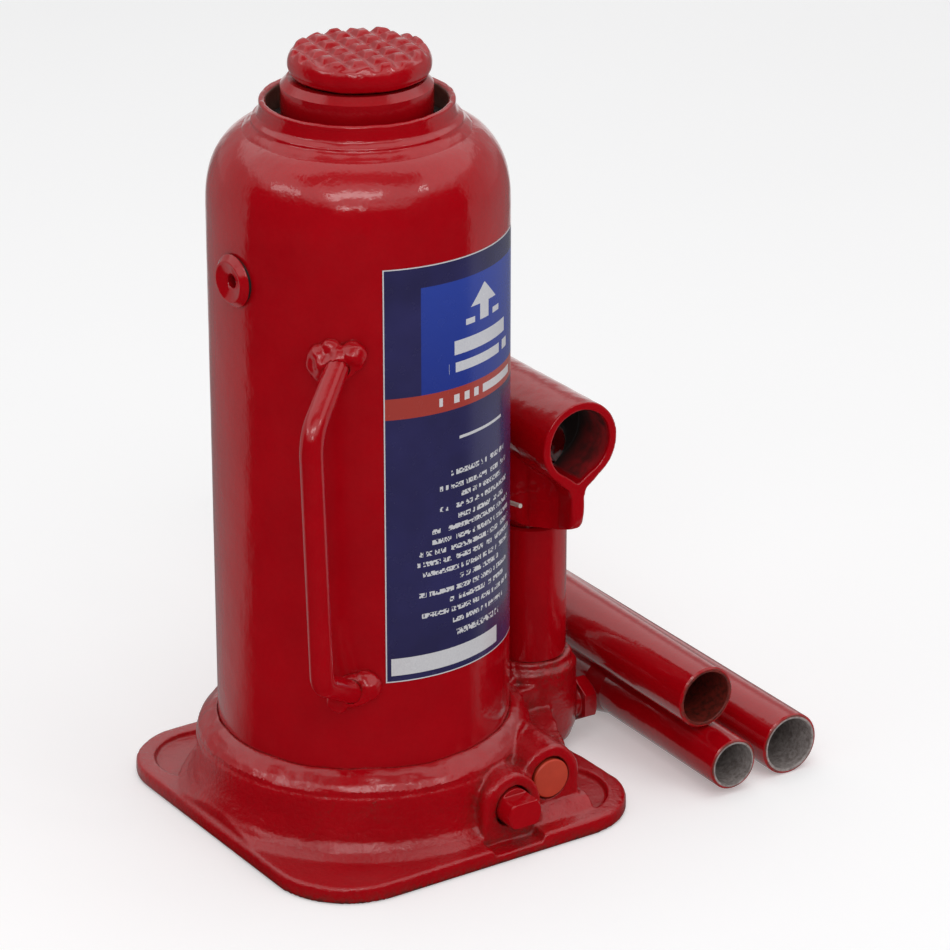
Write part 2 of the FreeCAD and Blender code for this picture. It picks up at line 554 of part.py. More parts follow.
UPPER_PIN = dict(tip=-15.9, shoulder=13.7, head_end=16.2, hole=-14.65)
LOWER_PIN = dict(tip=12.9, shoulder=-9.5, head_end=-11.1, hole=10.95, head_r=5.6)
upper_hole_x = PUMP_X + UPPER_PIN["hole"]
save("plunger_pin", headed_pin(0, PLUNGER_PIN_Z, **UPPER_PIN))
save("fulcrum_pin", headed_pin(FULCRUM_Y, FULCRUM_Z, **UPPER_PIN))
save("link_pin", headed_pin(LINK_Y, LINK_Z, **LOWER_PIN))
save("plunger_split_pin", split_pin(upper_hole_x, 0, PLUNGER_PIN_Z, leg=12.2, spread=0.12))
save("fulcrum_split_pin", split_pin(upper_hole_x, FULCRUM_Y, FULCRUM_Z))
save("link_split_pin", split_pin(PUMP_X + LOWER_PIN["hole"], LINK_Y, LINK_Z))
save("link_plates", link_plate(PUMP_X - 9.35), link_plate(PUMP_X + 6.35))


# ---------------------------------------------------------------- valves
def release_valve_stem():
    """Pointed stem with two flats on its head and an O-ring groove."""
    stem = aim(revolve([
        (0, -20.6), (2.0, -20.6), (4.9, -17.5), (4.9, -5.9), (5.75, -5.3), (5.75, 6.4),
        (5.2, 7.0), (0, 7.0)]), (REL_X, REL_Y, REL_Z), (0, -1, 0))
    flats = [box(REL_X - 10, REL_X + 10, REL_Y - 12, REL_Y - 0.6, REL_Z + low, REL_Z + high)
             for low, high in ((3.9, 12), (-12, -3.9))]
    stem = cut(stem, *flats)
    return cut(stem, Part.makeTorus(4.9, 0.9, Vector(REL_X, O_RING_Y, REL_Z), Vector(0, 1, 0)))


def spring(radius, wire_r, pitch, height):
    section = Part.Wire(Part.makeCircle(wire_r, Vector(radius, 0, 0), Vector(0, 1, 0.12)))
    return Part.Wire(Part.makeHelix(pitch, height, radius)).makePipeShell([section], True, True)


save("release_valve_stem", release_valve_stem())
save("release_o_ring",
     Part.makeTorus(4.35, 0.3, Vector(REL_X, O_RING_Y, REL_Z), Vector(0, 1, 0)))
save("release_valve_ball", Part.makeSphere(2.15, Vector(REL_X, -33.2, REL_Z)))

save("overload_cap", aim(revolve([
    (0, -2.6), (5.4, -2.6), (6.2, -1.8), (6.2, 0.1), (5.8, 0.5), (0, 0.5)]),
    (OVL_X, OVL_Y, OVL_Z), (0, -1, 0)))
save("overload_screw", cut(
    cyl_y(3.9, OVL_Y + 3.6, OVL_Y + 9.6, OVL_X, OVL_Z),
    box(OVL_X - 4.5, OVL_X + 4.5, OVL_Y + 3.0, OVL_Y + 5.0, OVL_Z - 0.6, OVL_Z + 0.6)))
save("overload_spring", aim(spring(radius=2.4, wire_r=0.45, pitch=1.9, height=7.4),
                            (OVL_X, OVL_Y + 10.2, OVL_Z), (0, 1, 0)))
save("overload_ball", Part.makeSphere(1.95, Vector(OVL_X, -32.35, OVL_Z)))

plug_head = hex_prism(across_flats=13.0, height=4.6)
plug_head = plug_head.common(revolve([(0, 0), (7.6, 0), (7.6, 3.9), (6.7, 4.6), (0, 4.6)]))
aim(plug_head, (PUMP_X + 15.0, SUCTION_Y, SUCTION_PLUG_Z), (1, 0, 0))
save("suction_plug", fuse(
    plug_head, cyl_x(4.95, PUMP_X + 11.5, PUMP_X + 15.4, SUCTION_Y, SUCTION_PLUG_Z)))
save("suction_ball", Part.makeSphere(2.2, Vector(PUMP_X + 7.8, SUCTION_Y, SUCTION_Z)))
save("suction_screen", aim(sleeve(3.6, 4.9, 0, 0.8),
                           (PUMP_X + 10.65, SUCTION_Y, SUCTION_PLUG_Z), (1, 0, 0)))


# ---------------------------------------------------------------- carrying handle
def rod_path(points, bends):
    """Wire of straight legs with a rounded bend at each inner point."""
    edges = []
    leg_start = points[0]
    for before, corner, after, bend in zip(points, points[1:], points[2:], bends):
        back = (before - corner).normalize()
        ahead = (after - corner).normalize()
        half = back.getAngle(ahead) / 2.0
        setback = bend / math.tan(half)
        arc_start, arc_end = corner + back * setback, corner + ahead * setback
        inward = (back + ahead).normalize()
        middle = corner + inward * (bend / math.sin(half) - bend)
        edges.append(Part.LineSegment(leg_start, arc_start).toShape())
        edges.append(Part.Arc(arc_start, middle, arc_end).toShape())
        leg_start = arc_end
    edges.append(Part.LineSegment(leg_start, points[-1]).toShape())
    return Part.Wire(edges)


def carry_handle():
    """Bent rod at the front left of the tube."""
    top_root = polar(TANK_R + 2.2, -129.6, 160.0)
    bottom_root = polar(TANK_R + 2.2, -126, 56.8)
    top_bend, bottom_bend = Vector(-46.5, -47.75, 145.4), Vector(-44.15, -48.0, 67.8)
    path = rod_path([top_root, top_bend, bottom_bend, bottom_root], bends=(12.0, 5.0))
    section = Part.Wire(Part.makeCircle(ROD_R, top_root, (top_bend - top_root).normalize()))
    rod = path.makePipeShell([section], True, False)
    if rod.ShapeType != "Solid":
        rod = Part.Solid(rod)
    return largest(rod.cut(cyl_z(TANK_R + 0.03, 0, 230)))


def weld_blob(azimuth, z, rod):
    blob = Part.makeSphere(5.2, polar(TANK_R + 0.6, azimuth, z)).fuse([
        Part.makeSphere(4.2, polar(TANK_R + 0.8, azimuth + 5.5, z + 2.0)),
        Part.makeSphere(4.0, polar(TANK_R + 0.6, azimuth - 5.0, z - 2.4))])
    return largest(cut(blob, cyl_z(TANK_R + SEAM, 0, 230), rod))


handle_rod = carry_handle()
save("carry_handle", handle_rod)
save("carry_handle_welds", weld_blob(-130, 160.0, handle_rod),
     weld_blob(-126, 56.6, handle_rod))


# ---------------------------------------------------------------- label
def label():
    """Thin foil wrapped on the front of the tube."""
    foil = sleeve(TANK_R + 0.04, TANK_R + 0.24, LABEL_Z0, LABEL_Z1)
    first, last = LABEL_AZIMUTHS
    z = LABEL_Z0 - 5
    wedge = face([Vector(0, 0, z), polar(90, first, z), polar(110, (first + last) / 2, z),
                  polar(90, last, z)]).extrude(Vector(0, 0, LABEL_Z1 - LABEL_Z0 + 10))
    return foil.common(wedge)


save("label", label())

# ---------------------------------------------------------------- three-piece pumping handle
# Tube profiles (radius, distance from the near mouth).
FAR_END = [(TUBE_R, TUBE_L - 0.5), (TUBE_R - 0.4, TUBE_L)]
PLAIN_TUBE = ([(TUBE_BORE_R + 0.2, 0), (TUBE_R - 0.5, 0), (TUBE_R, 0.5)] + FAR_END
              + [(TUBE_BORE_R, TUBE_L), (TUBE_BORE_R, 0.3)])
SWAGE_R, SWAGE_BORE_R, SWAGE_END, CONE_END = 8.2, 6.9, 62.0, 69.0
LOWER_BORE_R = 8.5
SWAGED_TUBE = ([(SWAGE_BORE_R, 0), (SWAGE_R - 0.4, 0), (SWAGE_R, 0.5), (SWAGE_R, SWAGE_END),
                (TUBE_R, CONE_END)] + FAR_END
               + [(LOWER_BORE_R, TUBE_L), (LOWER_BORE_R, CONE_END + 1.0),
                  (SWAGE_BORE_R, SWAGE_END + 1.0)])


def handle_tube(profile, mouth, yaw, pitch):
    """Tube running back (+Y) from its mouth, yawed towards +X and pitched up, in degrees."""
    yaw, pitch = math.radians(yaw), math.radians(pitch)
    direction = (math.sin(yaw) * math.cos(pitch), math.cos(yaw) * math.cos(pitch),
                 math.sin(pitch))
    return aim(revolve(profile), mouth, direction)


save("handle_upper_tube", handle_tube(PLAIN_TUBE, (91.6, -51.9, 28.7), yaw=0.0, pitch=1.0))
save("handle_middle_tube", handle_tube(PLAIN_TUBE, (116.9, -61.9, 10.0), yaw=0.6, pitch=0.0))
save("handle_lower_tube", handle_tube(SWAGED_TUBE, (93.9, -63.5, 10.0), yaw=1.3, pitch=0.0))
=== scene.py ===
import bpy, bmesh, math, random
import numpy as np
from mathutils import Vector, Matrix


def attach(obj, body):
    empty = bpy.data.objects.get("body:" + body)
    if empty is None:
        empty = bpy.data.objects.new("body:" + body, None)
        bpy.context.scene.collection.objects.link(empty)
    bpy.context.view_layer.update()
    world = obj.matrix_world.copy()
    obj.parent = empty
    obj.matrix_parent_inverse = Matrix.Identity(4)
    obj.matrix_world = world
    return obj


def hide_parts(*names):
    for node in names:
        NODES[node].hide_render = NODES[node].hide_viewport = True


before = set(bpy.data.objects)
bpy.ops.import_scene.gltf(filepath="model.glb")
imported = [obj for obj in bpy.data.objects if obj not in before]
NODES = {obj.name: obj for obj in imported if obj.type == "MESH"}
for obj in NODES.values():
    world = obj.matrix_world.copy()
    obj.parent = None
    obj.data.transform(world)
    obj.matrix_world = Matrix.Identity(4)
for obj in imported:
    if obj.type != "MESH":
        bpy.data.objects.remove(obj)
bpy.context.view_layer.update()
random.seed(7)
rng = np.random.default_rng(11)
MM = 0.001
COLL = bpy.context.scene.collection
AMBIENT, UPPER = 0.56, 1.25          # surround as seen by matt surfaces, and overhead in reflections


# ------------------------------------------------------------------ mesh helpers
def new_obj(name, verts, faces, smooth=True):
    me = bpy.data.meshes.new(name)
    me.from_pydata([tuple(v) for v in verts], [], faces)
    me.validate()
    me.update()
    if smooth:
        me.polygons.foreach_set("use_smooth", [True] * len(me.polygons))
    o = bpy.data.objects.new(name, me)
    COLL.objects.link(o)
    return o


def co_of(me):
    a = np.zeros(len(me.vertices) * 3, np.float32)
    me.vertices.foreach_get("co", a)
    return a.reshape(-1, 3).astype(float)


def normals_of(me):
    a = np.zeros(len(me.vertices) * 3, np.float32)
    me.vertices.foreach_get("normal", a)
    return a.reshape(-1, 3).astype(float)


def set_co(me, co):
    me.vertices.foreach_set("co", co.astype(np.float32).ravel())
    me.update()


def edges_of(me):
    e = np.zeros(len(me.edges) * 2, np.int64)
    me.edges.foreach_get("vertices", e)
    return e.reshape(-1, 2)


def relax(co, e, iters, lam=0.5, mu=-0.52, mask=None):
    """Taubin smoothing: rounds edges without shrinking the form."""
    n = len(co)
    deg = np.bincount(e.ravel(), minlength=n).astype(float)
    deg[deg == 0] = 1
    for k in range(iters):
        for f in (lam, mu) if mu else (lam,):
            s = np.zeros_like(co)
            for a in range(3):
                s[:, a] = np.bincount(e[:, 0], co[e[:, 1], a], n) + np.bincount(e[:, 1], co[e[:, 0], a], n)
            d = s / deg[:, None] - co
            if mask is not None:
                d = d * mask[:, None]
            co = co + f * d
    return co


class Waves:
    """Smooth repeatable noise made of random plane waves; size is the typical bump size in mm."""

    def __init__(self, size, seed, n=26):
        r = np.random.default_rng(seed)
        k = r.normal(size=(n, 3))
        k /= np.linalg.norm(k, axis=1)[:, None]
        self.k = k * (2 * math.pi / (size * MM * r.uniform(0.7, 1.7, n)))[:, None]
        self.p = r.uniform(0, 2 * math.pi, n)
        self.n = n

    def __call__(self, co):
        return np.sin(co @ self.k.T + self.p).sum(1) / math.sqrt(self.n / 2)


def joined(name, *nodes):
    """One mesh that holds copies of these CAD nodes."""
    bm = bmesh.new()
    for n in nodes:
        bm.from_mesh(NODES[n].data if isinstance(n, str) else n)
    me = bpy.data.meshes.new(name)
    bm.to_mesh(me)
    bm.free()
    o = bpy.data.objects.new(name, me)
    COLL.objects.link(o)
    return o


def voxel(o, size):
    """Replaces o's mesh with an even quad skin of that cell size in mm."""
    m = o.modifiers.new("vox", "REMESH")
    m.mode = "VOXEL"
    m.voxel_size = size * MM
    m.adaptivity = 0
    m.use_smooth_shade = True
    dg = bpy.context.evaluated_depsgraph_get()
    me = bpy.data.meshes.new_from_object(o.evaluated_get(dg), preserve_all_data_layers=False, depsgraph=dg)
    o.modifiers.clear()
    old = o.data
    o.data = me
    bpy.data.meshes.remove(old)
    me.name = o.name
    me.polygons.foreach_set("use_smooth", [True] * len(me.polygons))
    return o


def sculpt(name, body, size, smooth, disp=None, mask=None, nodes=None, mu=-0.52, keep=None):
    """Even skin over CAD nodes, edges rounded, then moved along its normals by disp(co, normal) in mm."""
    nodes = nodes or [name]
    o = voxel(joined(name + "_skin", *nodes), size)
    me = o.data
    co = co_of(me)
    m = mask(co) if mask else None
    co = relax(co, edges_of(me), smooth, mu=mu, mask=m)
    set_co(me, co)
    if disp:
        n = normals_of(me)
        set_co(me, co + n * (disp(co, n) * MM)[:, None])
    if keep:
        set_co(me, keep(co_of(me)))
    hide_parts(*nodes)
    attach(o, body)
    return o


def spline(points, step, corners=()):
    """Even points along a smooth curve through (r, z) points in mm; indexes in corners stay sharp."""
    p = [Vector((a, b)) for a, b in points]
    out = []
    for i in range(len(p) - 1):
        a = p[i - 1] if i > 0 and i not in corners else p[i] * 2 - p[i + 1]
        d = p[i + 2] if i + 2 < len(p) and i + 1 not in corners else p[i + 1] * 2 - p[i]
        b, c = p[i], p[i + 1]
        n = max(1, int((c - b).length / step))
        for k in range(n):
            t = k / n
            q = 0.5 * ((2 * b) + (c - a) * t + (2 * a - 5 * b + 4 * c - d) * t * t + (3 * b - a - 3 * c + d) * t ** 3)
            out.append((q.x, q.y))
    out.append(points[-1])
    return out


def lathe(name, body, profile, turns=420, disp=None, nodes=None):
    """Turned skin from a closed (r, z) profile in mm, then moved along its normals by disp(co, normal) in mm."""
    nodes = nodes or [name]
    m = len(profile)
    verts, faces = [], []
    for i in range(turns):
        a = 2 * math.pi * i / turns
        ca, sa = math.cos(a) * MM, math.sin(a) * MM
        verts += [(r * ca, r * sa, z * MM) for r, z in profile]
        j = (i + 1) % turns
        faces += [(i * m + k, j * m + k, j * m + (k + 1) % m, i * m + (k + 1) % m) for k in range(m)]
    o = new_obj(name + "_skin", verts, faces)
    if disp:
        me = o.data
        co = co_of(me)
        set_co(me, co + normals_of(me) * (disp(co, normals_of(me)) * MM)[:, None])
    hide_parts(*nodes)
    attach(o, body)
    return o


def drill(base, axis, r, length, n=48):
    """Vertices and faces of a closed round bar, all in mm."""
    w = Vector(axis).normalized()
    u = w.cross(Vector((0, 0, 1))).normalized()
    v = w.cross(u)
    b = Vector(base)
    verts = []
    for k in range(2):
        for i in range(n):
            t = 2 * math.pi * i / n
            verts.append((b + w * (length * k) - w * (0 if k else 0) + u * (r * math.cos(t)) + v * (r * math.sin(t))) * MM)
    faces = [(i, (i + 1) % n, n + (i + 1) % n, n + i) for i in range(n)]
    faces += [tuple(range(n))[::-1], tuple(range(n, 2 * n))]
    return verts, faces


# ------------------------------------------------------------------ node helpers
class Mat:
    def __init__(self, name):
        self.m = bpy.data.materials.new(name)
        self.m.use_nodes = True
        self.t = self.m.node_tree
        self.t.nodes.clear()
        self.out = self.n("ShaderNodeOutputMaterial")
        self.b = self.n("ShaderNodeBsdfPrincipled")
        self.l(self.b.outputs[0], self.out.inputs[0])
        tc = self.n("ShaderNodeTexCoord")
        self.obj = tc.outputs["Object"]
        mm = self.n("ShaderNodeVectorMath", operation="SCALE")
        self.l(self.obj, mm.inputs[0])
        mm.inputs["Scale"].default_value = 1000.0
        self.mm = mm.outputs[0]          # position in mm

    def axis(self, which):
        """One coordinate of the position, in mm."""
        sp = self.n("ShaderNodeSeparateXYZ")
        self.l(self.mm, sp.inputs[0])
        return sp.outputs[which]

    def n(self, kind, **kw):
        x = self.t.nodes.new(kind)
        for k, v in kw.items():
            setattr(x, k, v)
        return x

    def l(self, a, b):
        self.t.links.new(a, b)

    def put(self, sock, v):
        if isinstance(v, (int, float)):
            sock.default_value = v
        elif isinstance(v, (tuple, list)):
            sock.default_value = tuple(v) if len(v) == len(sock.default_value) else tuple(v) + (1.0,)
        else:
            self.l(v, sock)

    def math(self, op, a, b=0.0, c=None, clamp=False):
        x = self.n("ShaderNodeMath", operation=op)
        x.use_clamp = clamp
        self.put(x.inputs[0], a)
        self.put(x.inputs[1], b)
        if c is not None:
            self.put(x.inputs[2], c)
        return x.outputs[0]

    def noise(self, scale, detail=2.0, rough=0.5, dist=0.0, vec=None):
        x = self.n("ShaderNodeTexNoise")
        self.l(vec or self.mm, x.inputs["Vector"])
        x.inputs["Scale"].default_value = scale
        x.inputs["Detail"].default_value = detail
        x.inputs["Roughness"].default_value = rough
        x.inputs["Distortion"].default_value = dist
        return x.outputs["Fac"]

    def voro(self, scale, feature="F1", out="Distance", vec=None):
        x = self.n("ShaderNodeTexVoronoi", feature=feature)
        self.l(vec or self.mm, x.inputs["Vector"])
        x.inputs["Scale"].default_value = scale
        return x.outputs[out]

    def ramp(self, v, stops, mode="LINEAR"):
        x = self.n("ShaderNodeValToRGB")
        x.color_ramp.interpolation = mode
        e = x.color_ramp.elements
        while len(e) < len(stops):
            e.new(0.5)
        for el, (p, c) in zip(e, stops):
            el.position = p
            el.color = (c, c, c, 1) if isinstance(c, (int, float)) else tuple(c) + (1.0,)
        self.l(v, x.inputs[0])
        return x.outputs[0]

    def mix(self, f, a, b, mode="MIX"):
        x = self.n("ShaderNodeMix", data_type="RGBA", blend_type=mode)
        self.put(x.inputs[0], f)
        self.put(x.inputs[6], a)
        self.put(x.inputs[7], b)
        return x.outputs[2]

    def scaled(self, sx, sy, sz):
        x = self.n("ShaderNodeVectorMath", operation="MULTIPLY")
        self.l(self.mm, x.inputs[0])
        x.inputs[1].default_value = (sx, sy, sz)
        return x.outputs[0]

    def bump(self, h, dist, strength=1.0, normal=None):
        x = self.n("ShaderNodeBump")
        x.inputs["Strength"].default_value = strength
        x.inputs["Distance"].default_value = dist * MM
        self.l(h, x.inputs["Height"])
        if normal is not None:
            self.l(normal, x.inputs["Normal"])
        return x.outputs[0]

    def ao(self, dist, samples=4):
        x = self.n("ShaderNodeAmbientOcclusion")
        x.samples = samples
        x.inputs["Distance"].default_value = dist * MM
        return x.outputs["AO"]

    def point(self):
        return self.n("ShaderNodeNewGeometry").outputs["Pointiness"]

    def set(self, **kw):
        names = {"color": "Base Color", "rough": "Roughness", "metal": "Metallic", "normal": "Normal", "coat": "Coat Weight",
                 "coat_rough": "Coat Roughness", "coat_normal": "Coat Normal", "spec": "Specular IOR Level", "ior": "IOR"}
        for k, v in kw.items():
            self.put(self.b.inputs[names[k]], v)
        return self


RED_A, RED_B, RED_DARK = (0.455, 0.0010, 0.0062), (0.40, 0.0006, 0.0052), (0.22, 0.0006, 0.002)
# browns for the painted shade in crevices and for the real grime stains
SHADE_DIRT, SHADE_DIRT2 = (0.045, 0.014, 0.008), (0.11, 0.034, 0.020)


def red(name, cast=0.0, shade_and_dirt=0.4, peel=1.0, grime=0.0, ao=3.0, wave=1.0, streak=0.0, point=False, lumps=None, inner=None):
    """Glossy red enamel. cast raises the casting's grain through the paint; the crevices and hollows get painted shade
    from occlusion, in a dirt brown that also roughens the paint, lumps = (z from, z to, size in mm) adds brushed lumps,
    inner = list of (mask, colour, roughness[, metallic]) laid over it."""
    m = Mat(name)
    tone = m.noise(0.045, 3, 0.6)
    fine = m.noise(0.9, 2, 0.5)
    col = m.mix(m.ramp(tone, [(0.32, 0.0), (0.68, 1.0)]), RED_B, RED_A)
    col = m.mix(m.math("MULTIPLY", m.ramp(fine, [(0.35, 1.0), (0.6, 0.0)]), 0.10), col, RED_DARK)
    # painted shade: where occlusion finds crevices the colour darkens in patches towards a dirt brown, and the paint
    # there gets rougher
    crevice_shade = m.ramp(m.ao(ao), [(0.42, 1.0), (0.86, 0.0)] if cast >= 1 else [(0.30, 1.0), (0.74, 0.0)])
    spots = m.ramp(m.noise(0.55, 4, 0.65), [(0.42, 0.0), (0.6, 1.0)])
    d = m.math("MULTIPLY", crevice_shade, m.math("MULTIPLY_ADD", spots, 0.75, 0.25), clamp=True)
    d = m.math("MULTIPLY", d, shade_and_dirt, clamp=True)
    if grime:
        g = m.math("MULTIPLY", m.ramp(m.noise(0.12, 5, 0.7), [(0.58, 0.0), (0.72, 1.0)]), m.ramp(m.noise(1.7, 3, 0.7), [(0.46, 0.0), (0.64, 1.0)]))
        d = m.math("MAXIMUM", d, m.math("MULTIPLY", g, grime), clamp=True)
    if point:
        # painted shade and dirt: the concave hollows are darkened as well
        cav = m.ramp(m.point(), [(0.40, 1.0), (0.475, 0.0)])
        d = m.math("MAXIMUM", d, m.math("MULTIPLY", m.math("MULTIPLY", cav, spots), 0.6 * shade_and_dirt), clamp=True)
    col = m.mix(d, col, m.mix(fine, SHADE_DIRT, SHADE_DIRT2))
    chips = m.ramp(m.voro(0.16), [(0.020, 1.0), (0.034, 0.0)])
    chips = m.math("MULTIPLY", chips, m.ramp(m.noise(0.07, 2), [(0.62, 0.0), (0.68, 1.0)]))
    col = m.mix(m.math("MULTIPLY", chips, 0.6), col, (0.14, 0.02, 0.015))
    rough = m.math("MULTIPLY_ADD", m.noise(0.16, 4, 0.6), 0.10, 0.09)
    rough = m.math("ADD", rough, m.math("MULTIPLY", d, 0.35), clamp=True)
    coat = m.math("SUBTRACT", 0.35, m.math("MULTIPLY", d, 0.35), clamp=True)
    nrm = m.bump(m.noise(0.085, 1, 0.4), 0.55 * wave, 0.55)
    nrm = m.bump(m.noise(0.33, 2, 0.5), 0.13 * peel, 0.7, nrm)
    nrm = m.bump(m.noise(1.3, 2, 0.5), 0.034 * peel, 0.8, nrm)
    if streak:
        nrm = m.bump(m.noise(0.35, 2, 0.5, vec=m.scaled(1.0, 1.0, 0.06)), 0.06 * streak, 0.8, nrm)
    if lumps:
        zz = m.n("ShaderNodeSeparateXYZ")
        m.l(m.mm, zz.inputs[0])
        k = m.math("MULTIPLY_ADD", zz.outputs["Z"], 1.0 / (lumps[1] - lumps[0]), -lumps[0] / (lumps[1] - lumps[0]), clamp=True)
        patch = m.ramp(m.noise(0.055, 1), [(0.46, 0.0), (0.56, 1.0)])
        h = m.math("MULTIPLY", m.noise(1.0 / lumps[2], 2, 0.5, 0.4, vec=m.scaled(1.3, 1.0, 0.5)), m.math("MULTIPLY", k, patch))
        nrm = m.bump(h, 0.40, 0.6, nrm)
    if cast:
        c1 = m.noise(0.9, 4, 0.6)
        c2 = m.voro(0.7, "SMOOTH_F1")
        nrm = m.bump(m.math("MULTIPLY_ADD", c2, 0.4, c1), 0.26 * cast, 0.8, nrm)
        nrm = m.bump(m.noise(2.4, 2, 0.5), 0.045 * cast, 0.8, nrm)
    metal = 0.0
    for mask, c, r, *bare in inner(m) if inner else ():
        if bare:
            metal = m.math("MULTIPLY", mask, bare[0])
        col = m.mix(mask, col, c)
        rough = m.math("MULTIPLY_ADD", mask, m.math("SUBTRACT", r, rough), rough)
        coat = m.math("MULTIPLY", coat, m.math("SUBTRACT", 1.0, mask))
    m.set(color=col, rough=rough, metal=metal, normal=nrm, coat_normal=nrm, spec=0.5, coat=coat, coat_rough=m.math("MULTIPLY_ADD", m.noise(0.3, 2), 0.05, 0.03))
    return m.m


def near_axis(m, base, yaw, pitch, r, soft=0.25):
    """1 inside radius r (mm) of the axis that runs through base."""
    y, p = math.radians(yaw), math.radians(pitch)
    d = (math.sin(y) * math.cos(p), math.cos(y) * math.cos(p), math.sin(p))
    sub = m.n("ShaderNodeVectorMath", operation="SUBTRACT")
    m.l(m.mm, sub.inputs[0])
    sub.inputs[1].default_value = base
    cr = m.n("ShaderNodeVectorMath", operation="CROSS_PRODUCT")
    m.l(sub.outputs[0], cr.inputs[0])
    cr.inputs[1].default_value = d
    ln = m.n("ShaderNodeVectorMath", operation="LENGTH")
    m.l(cr.outputs[0], ln.inputs[0])
    return m.math("MULTIPLY_ADD", ln.outputs["Value"], -1.0 / soft, r / soft, clamp=True)


def tube_inside(base, yaw, pitch, r, c1, c2, rim=None, wide=None):
    def f(m):
        k = near_axis(m, base, yaw, pitch, r)
        if wide:
            k = m.math("MAXIMUM", k, m.math("MULTIPLY", near_axis(m, base, yaw, pitch, wide[0]), m.math("GREATER_THAN", m.axis("Y"), wide[1])))
        c = m.mix(m.ramp(m.noise(0.7, 4, 0.65), [(0.35, 0.0), (0.65, 1.0)]), c1, c2)
        out = [(k, c, 0.5)]
        if rim:
            w = m.math("MULTIPLY", m.math("SUBTRACT", near_axis(m, base, yaw, pitch, r + 0.55, 0.3), k, clamp=True), m.ramp(m.noise(0.25, 3), [(0.42, 0.0), (0.62, 1.0)]))
            out.append((m.math("MULTIPLY", w, 0.8), rim, 0.4))
        return out
    return f


def steel(name, base=(0.50, 0.49, 0.47), rough=0.28, ring=False, rust=0.15, dark=0.0):
    m = Mat(name)
    t = m.noise(0.35, 4, 0.6)
    col = m.mix(m.ramp(t, [(0.35, 0.0), (0.7, 1.0)]), tuple(c * 0.72 for c in base), base)
    r = m.ramp(m.noise(0.9, 5, 0.7), [(0.55, 0.0), (0.72, 1.0)])
    col = m.mix(m.math("MULTIPLY", r, rust), col, (0.16, 0.07, 0.035))
    # painted shade: the colour goes near black where occlusion finds crevices
    crevice_shade = m.ramp(m.ao(2.5), [(0.3, 1.0), (0.8, 0.0)])
    col = m.mix(m.math("MULTIPLY", crevice_shade, 0.5 + dark), col, (0.03, 0.025, 0.02))
    lines = m.noise(1.0, 2, 0.5, vec=m.scaled(0.15, 0.15, 5.0) if not ring else m.scaled(4, 4, 4))
    nrm = m.bump(lines, 0.03, 0.5)
    m.set(color=col, metal=1.0, rough=m.math("MULTIPLY_ADD", m.noise(1.4, 4), 0.25, rough - 0.08), normal=nrm)
    return m.m


def plain(name, c1, c2, rough=0.45, bump=0.04, scale=0.7, spec=0.5, coat=0.0, shade_and_dirt=0.5):
    m = Mat(name)
    col = m.mix(m.ramp(m.noise(scale * 0.4, 4, 0.6), [(0.3, 0.0), (0.7, 1.0)]), c1, c2)
    # painted shade: a darker copy of the colour where occlusion finds crevices
    crevice_shade = m.ramp(m.ao(2.0), [(0.3, 1.0), (0.8, 0.0)])
    col = m.mix(m.math("MULTIPLY", crevice_shade, shade_and_dirt), col, tuple(c * 0.18 for c in c1))
    m.set(color=col, rough=m.math("MULTIPLY_ADD", m.noise(scale * 2, 3), 0.2, rough - 0.1), normal=m.bump(m.noise(scale * 3, 3), bump, 0.6), spec=spec, coat=coat, coat_rough=0.1)
    return m.m


M_BODY = red("enamel_body", shade_and_dirt=0.3, peel=1.0, wave=1.0, ao=2.0, streak=1.0, lumps=(206.5, 211.5, 4.5))
M_RAM = red("enamel_ram", shade_and_dirt=0.3, peel=1.0, wave=0.6, ao=2.0,
            inner=lambda m: [(m.math("MULTIPLY_ADD", m.math("MULTIPLY_ADD", m.noise(0.4, 3), 1.6, m.math("MULTIPLY", m.axis("Z"), -1.0)), 2.5, 2.5 * 216.2, clamp=True),
                              m.mix(m.ramp(m.noise(0.2, 4, 0.6, vec=m.scaled(1, 1, 0.2)), [(0.35, 0.0), (0.7, 1.0)]), (0.44, 0.43, 0.41), (0.56, 0.55, 0.53)), 0.40, 0.45)])
M_NUT = red("enamel_neck", shade_and_dirt=0.7, peel=1.2, wave=0.8, ao=2.2, point=True,
            inner=lambda m: [(m.math("MULTIPLY", near_axis(m, (0, 0, 0), 0, 90, 26.75, 0.3), 0.92), m.mix(m.noise(0.5, 4), (0.030, 0.014, 0.010), (0.16, 0.10, 0.07)), 0.45)])
M_PART = red("enamel_parts", shade_and_dirt=0.6, peel=1.0, wave=0.5, ao=2.5)
def socket_inside(m):
    """Bore dark brown with thin paint and painted shade: darker deeper in, redder towards the lit mouth; painted shade
    also fills the space between the cheeks.
    """
    y, dx, z = m.axis("Y"), m.math("ABSOLUTE", m.math("ADD", m.axis("X"), -61.0)), m.axis("Z")
    bore = m.math("MULTIPLY", near_axis(m, (61.0, 0, 111.4), 0, 0, 12.4, 0.5), m.math("MULTIPLY_ADD", y, 1 / 1.6, 26.4 / 1.6, clamp=True))
    # painted shade: near black in the space between the cheeks
    gap = m.math("MULTIPLY", m.math("MULTIPLY", m.math("LESS_THAN", dx, 8.0), m.math("LESS_THAN", z, 104.0)), m.math("GREATER_THAN", y, -8.5))
    # painted shade: redder towards the lit mouth, darker deeper in the bore
    lit_mouth = m.math("MULTIPLY", m.ramp(m.noise(0.13, 3, 0.6), [(0.40, 0.25), (0.58, 1.0)]), m.math("MULTIPLY_ADD", y, -1 / 9.0, -11.0 / 9.0, clamp=True))
    return [(m.math("MAXIMUM", bore, m.math("MULTIPLY", gap, 0.93)), m.mix(lit_mouth, (0.020, 0.006, 0.004), (0.34, 0.004, 0.008)), 0.75)]


M_SOCK = red("enamel_socket", shade_and_dirt=0.55, peel=1.3, wave=0.7, ao=3.0, inner=socket_inside)
